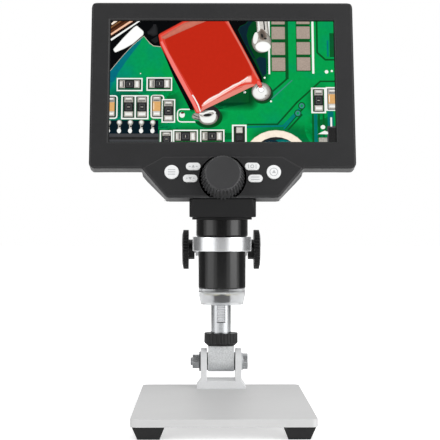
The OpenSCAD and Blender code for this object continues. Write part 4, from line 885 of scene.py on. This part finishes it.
def key_marks(key, side, shapes):
    """Flat shapes printed on a key's face."""
    across, up = KEY_AT[key]
    x = -across if side == "_left" else across
    to_face = HEAD @ Matrix.Translation((x, -PANEL_T - KEY_OUT - MARK_GAP, up)) \
        @ Matrix.Rotation(math.radians(90), 4, "X")
    marks = bmesh.new()
    for form in shapes:
        add_raised(marks, form, MARK_T, to_face)
    piece = placed(key + side + "_marks", marks, [print_grey], key + side, 20, False)


key_marks("round_key", "_left", [bar(-2.5, 1.3, 2.5, 1.85), bar(-2.5, -0.28, 2.5, 0.28),
                                 bar(-2.5, -1.85, 2.5, -1.3)])
key_marks("round_key", "_right", [ring(2.9, 2.4), triangle(0.1, 0, 1.5)])
key_marks("upper_key", "_left", [triangle(0, -0.2, 1.3), bar(-3.0, -0.3, -1.7, 0.2),
                                 bar(1.7, -0.3, 3.0, 0.2)])
key_marks("lower_key", "_left", [triangle(0, 0.2, 1.3, 180), bar(-3.0, -0.2, -1.7, 0.3),
                                 bar(1.7, -0.2, 3.0, 0.3)])
key_marks("upper_key", "_right", [bar(-2.8, -1.2, -2.3, 1.2), bar(2.3, -1.2, 2.8, 1.2), ring(1.3, 0.8)])
key_marks("lower_key", "_right", [bar(-2.8, 0.6, 2.8, 1.1), bar(-2.8, -1.1, 2.8, -0.6)])


# ---- Floor, backdrop and light, in metres ---------------------------------------------------
# The light from the floor near the object and from the sky, which both show white to the camera, and
# the grey of the cards
FLOOR_GLOW, SKY_GLOW, FLAG_GREY = 0.56, 0.52, 0.2
# The floor's light rises to full between these distances from the middle
GLOW_NEAR, GLOW_FAR = 0.18, 0.6
FLOOR_SIZE = 12
# The point that the lamps look at
LAMPS_AIM = Vector((0, 0.02, 0.16))


def seen_ray(tree):
    """1 for rays from the camera, in reflections and through clear parts, and 0 for all others."""
    path = add(tree, "ShaderNodeLightPath")
    seen = calc(tree, "MAXIMUM", path.outputs["Is Camera Ray"], path.outputs["Is Glossy Ray"])
    return calc(tree, "MAXIMUM", seen, path.outputs["Is Transmission Ray"])


def pale_surface(name, colour, own_light):
    """White to the camera and in reflections, and it still takes the object's shadow."""
    material = bpy.data.materials.new(name)
    tree, out = emptied(material)
    away = add(tree, "ShaderNodeVectorMath", operation="LENGTH")
    tree.links.new(add(tree, "ShaderNodeTexCoord").outputs["Object"], away.inputs[0])
    glow = add(tree, "ShaderNodeEmission", Color=(1, 1, 1, 1))
    reach = spread(tree, away.outputs["Value"], GLOW_NEAR, GLOW_FAR, own_light, 1.0)
    tree.links.new(calc(tree, "MULTIPLY", seen_ray(tree), reach), glow.inputs["Strength"])
    both = tree.nodes.new("ShaderNodeAddShader")
    tree.links.new(add(tree, "ShaderNodeBsdfDiffuse", Color=colour).outputs[0], both.inputs[0])
    tree.links.new(glow.outputs[0], both.inputs[1])
    tree.links.new(both.outputs[0], out.inputs["Surface"])
    return material


def studio_sheet(name, width, height, matrix, material):
    """A flat sheet of the studio, which isn't part of the object."""
    form = bmesh.new()
    bmesh.ops.create_grid(form, x_segments=1, y_segments=1, size=0.5)
    bmesh.ops.transform(form, matrix=matrix @ Matrix.Diagonal((width, height, 1, 1)), verts=form.verts)
    mesh = bpy.data.meshes.new(name)
    form.to_mesh(mesh)
    form.free()
    mesh.materials.append(material)
    sheet = bpy.data.objects.new(name, mesh)
    bpy.context.scene.collection.objects.link(sheet)
    return sheet


studio_sheet("floor", FLOOR_SIZE, FLOOR_SIZE, Matrix.Identity(4),
             pale_surface("floor_white", (0.8, 0.8, 0.8, 1), FLOOR_GLOW))

world = bpy.data.worlds.new("studio")
bpy.context.scene.world = world
world.use_nodes = True
sky = world.node_tree
sky.nodes.clear()
sky_light = add(sky, "ShaderNodeBackground", Color=(1, 1, 1, 1))
sky.links.new(spread(sky, seen_ray(sky), 0, 1, SKY_GLOW, 1.0), sky_light.inputs["Strength"])
sky.links.new(sky_light.outputs[0], sky.nodes.new("ShaderNodeOutputWorld").inputs["Surface"])


def softbox(name, azimuth, height, distance, size, radiance):
    """An area lamp that looks at the object; azimuth 0 is the camera's side, positive to the right."""
    lamp = bpy.data.objects.new(name, bpy.data.lights.new(name, "AREA"))
    bpy.context.scene.collection.objects.link(lamp)
    lamp.data.shape = "RECTANGLE"
    lamp.data.size, lamp.data.size_y = size
    lamp.data.energy = radiance * math.pi * size[0] * size[1]
    turn = math.radians(azimuth)
    lamp.location = (math.sin(turn) * distance, -math.cos(turn) * distance, height)
    lamp.rotation_euler = (LAMPS_AIM - lamp.location).to_track_quat("-Z", "Y").to_euler()


softbox("right_box", 58, 0.55, 1.3, (0.95, 1.4), 3.5)
softbox("left_box", -58, 0.55, 1.3, (0.85, 1.4), 1.7)
softbox("top_box", 0, 1.45, 0.75, (1.3, 1.2), 1.0)

flag_grey = bpy.data.materials.new("flag_grey")
flag_tree, flag_out = emptied(flag_grey)
flag_glow = add(flag_tree, "ShaderNodeEmission", Color=(FLAG_GREY, FLAG_GREY, FLAG_GREY, 1))
flag_tree.links.new(flag_glow.outputs[0], flag_out.inputs["Surface"])


def flag(name, azimuth, distance, width, low, high, tilt=0):
    """A dark card that only reflections see; it stands across a direction from the object."""
    matrix = Matrix.Rotation(math.radians(azimuth), 4, "Z") \
        @ Matrix.Translation((0, -distance, (low + high) / 2)) \
        @ Matrix.Rotation(math.radians(90 + tilt), 4, "X")
    card = studio_sheet(name, width, high - low, matrix, flag_grey)
    card.visible_camera = card.visible_diffuse = card.visible_shadow = card.visible_transmission = False


flag("front_flag", -2, 1.15, 1.0, -0.3, 1.0)
flag("high_flag", -5, 0.95, 0.9, 0.75, 1.7, -40)
flag("right_flag", 122, 0.6, 0.75, 0.005, 0.6)
flag("left_flag", -122, 0.6, 0.75, 0.005, 0.6)
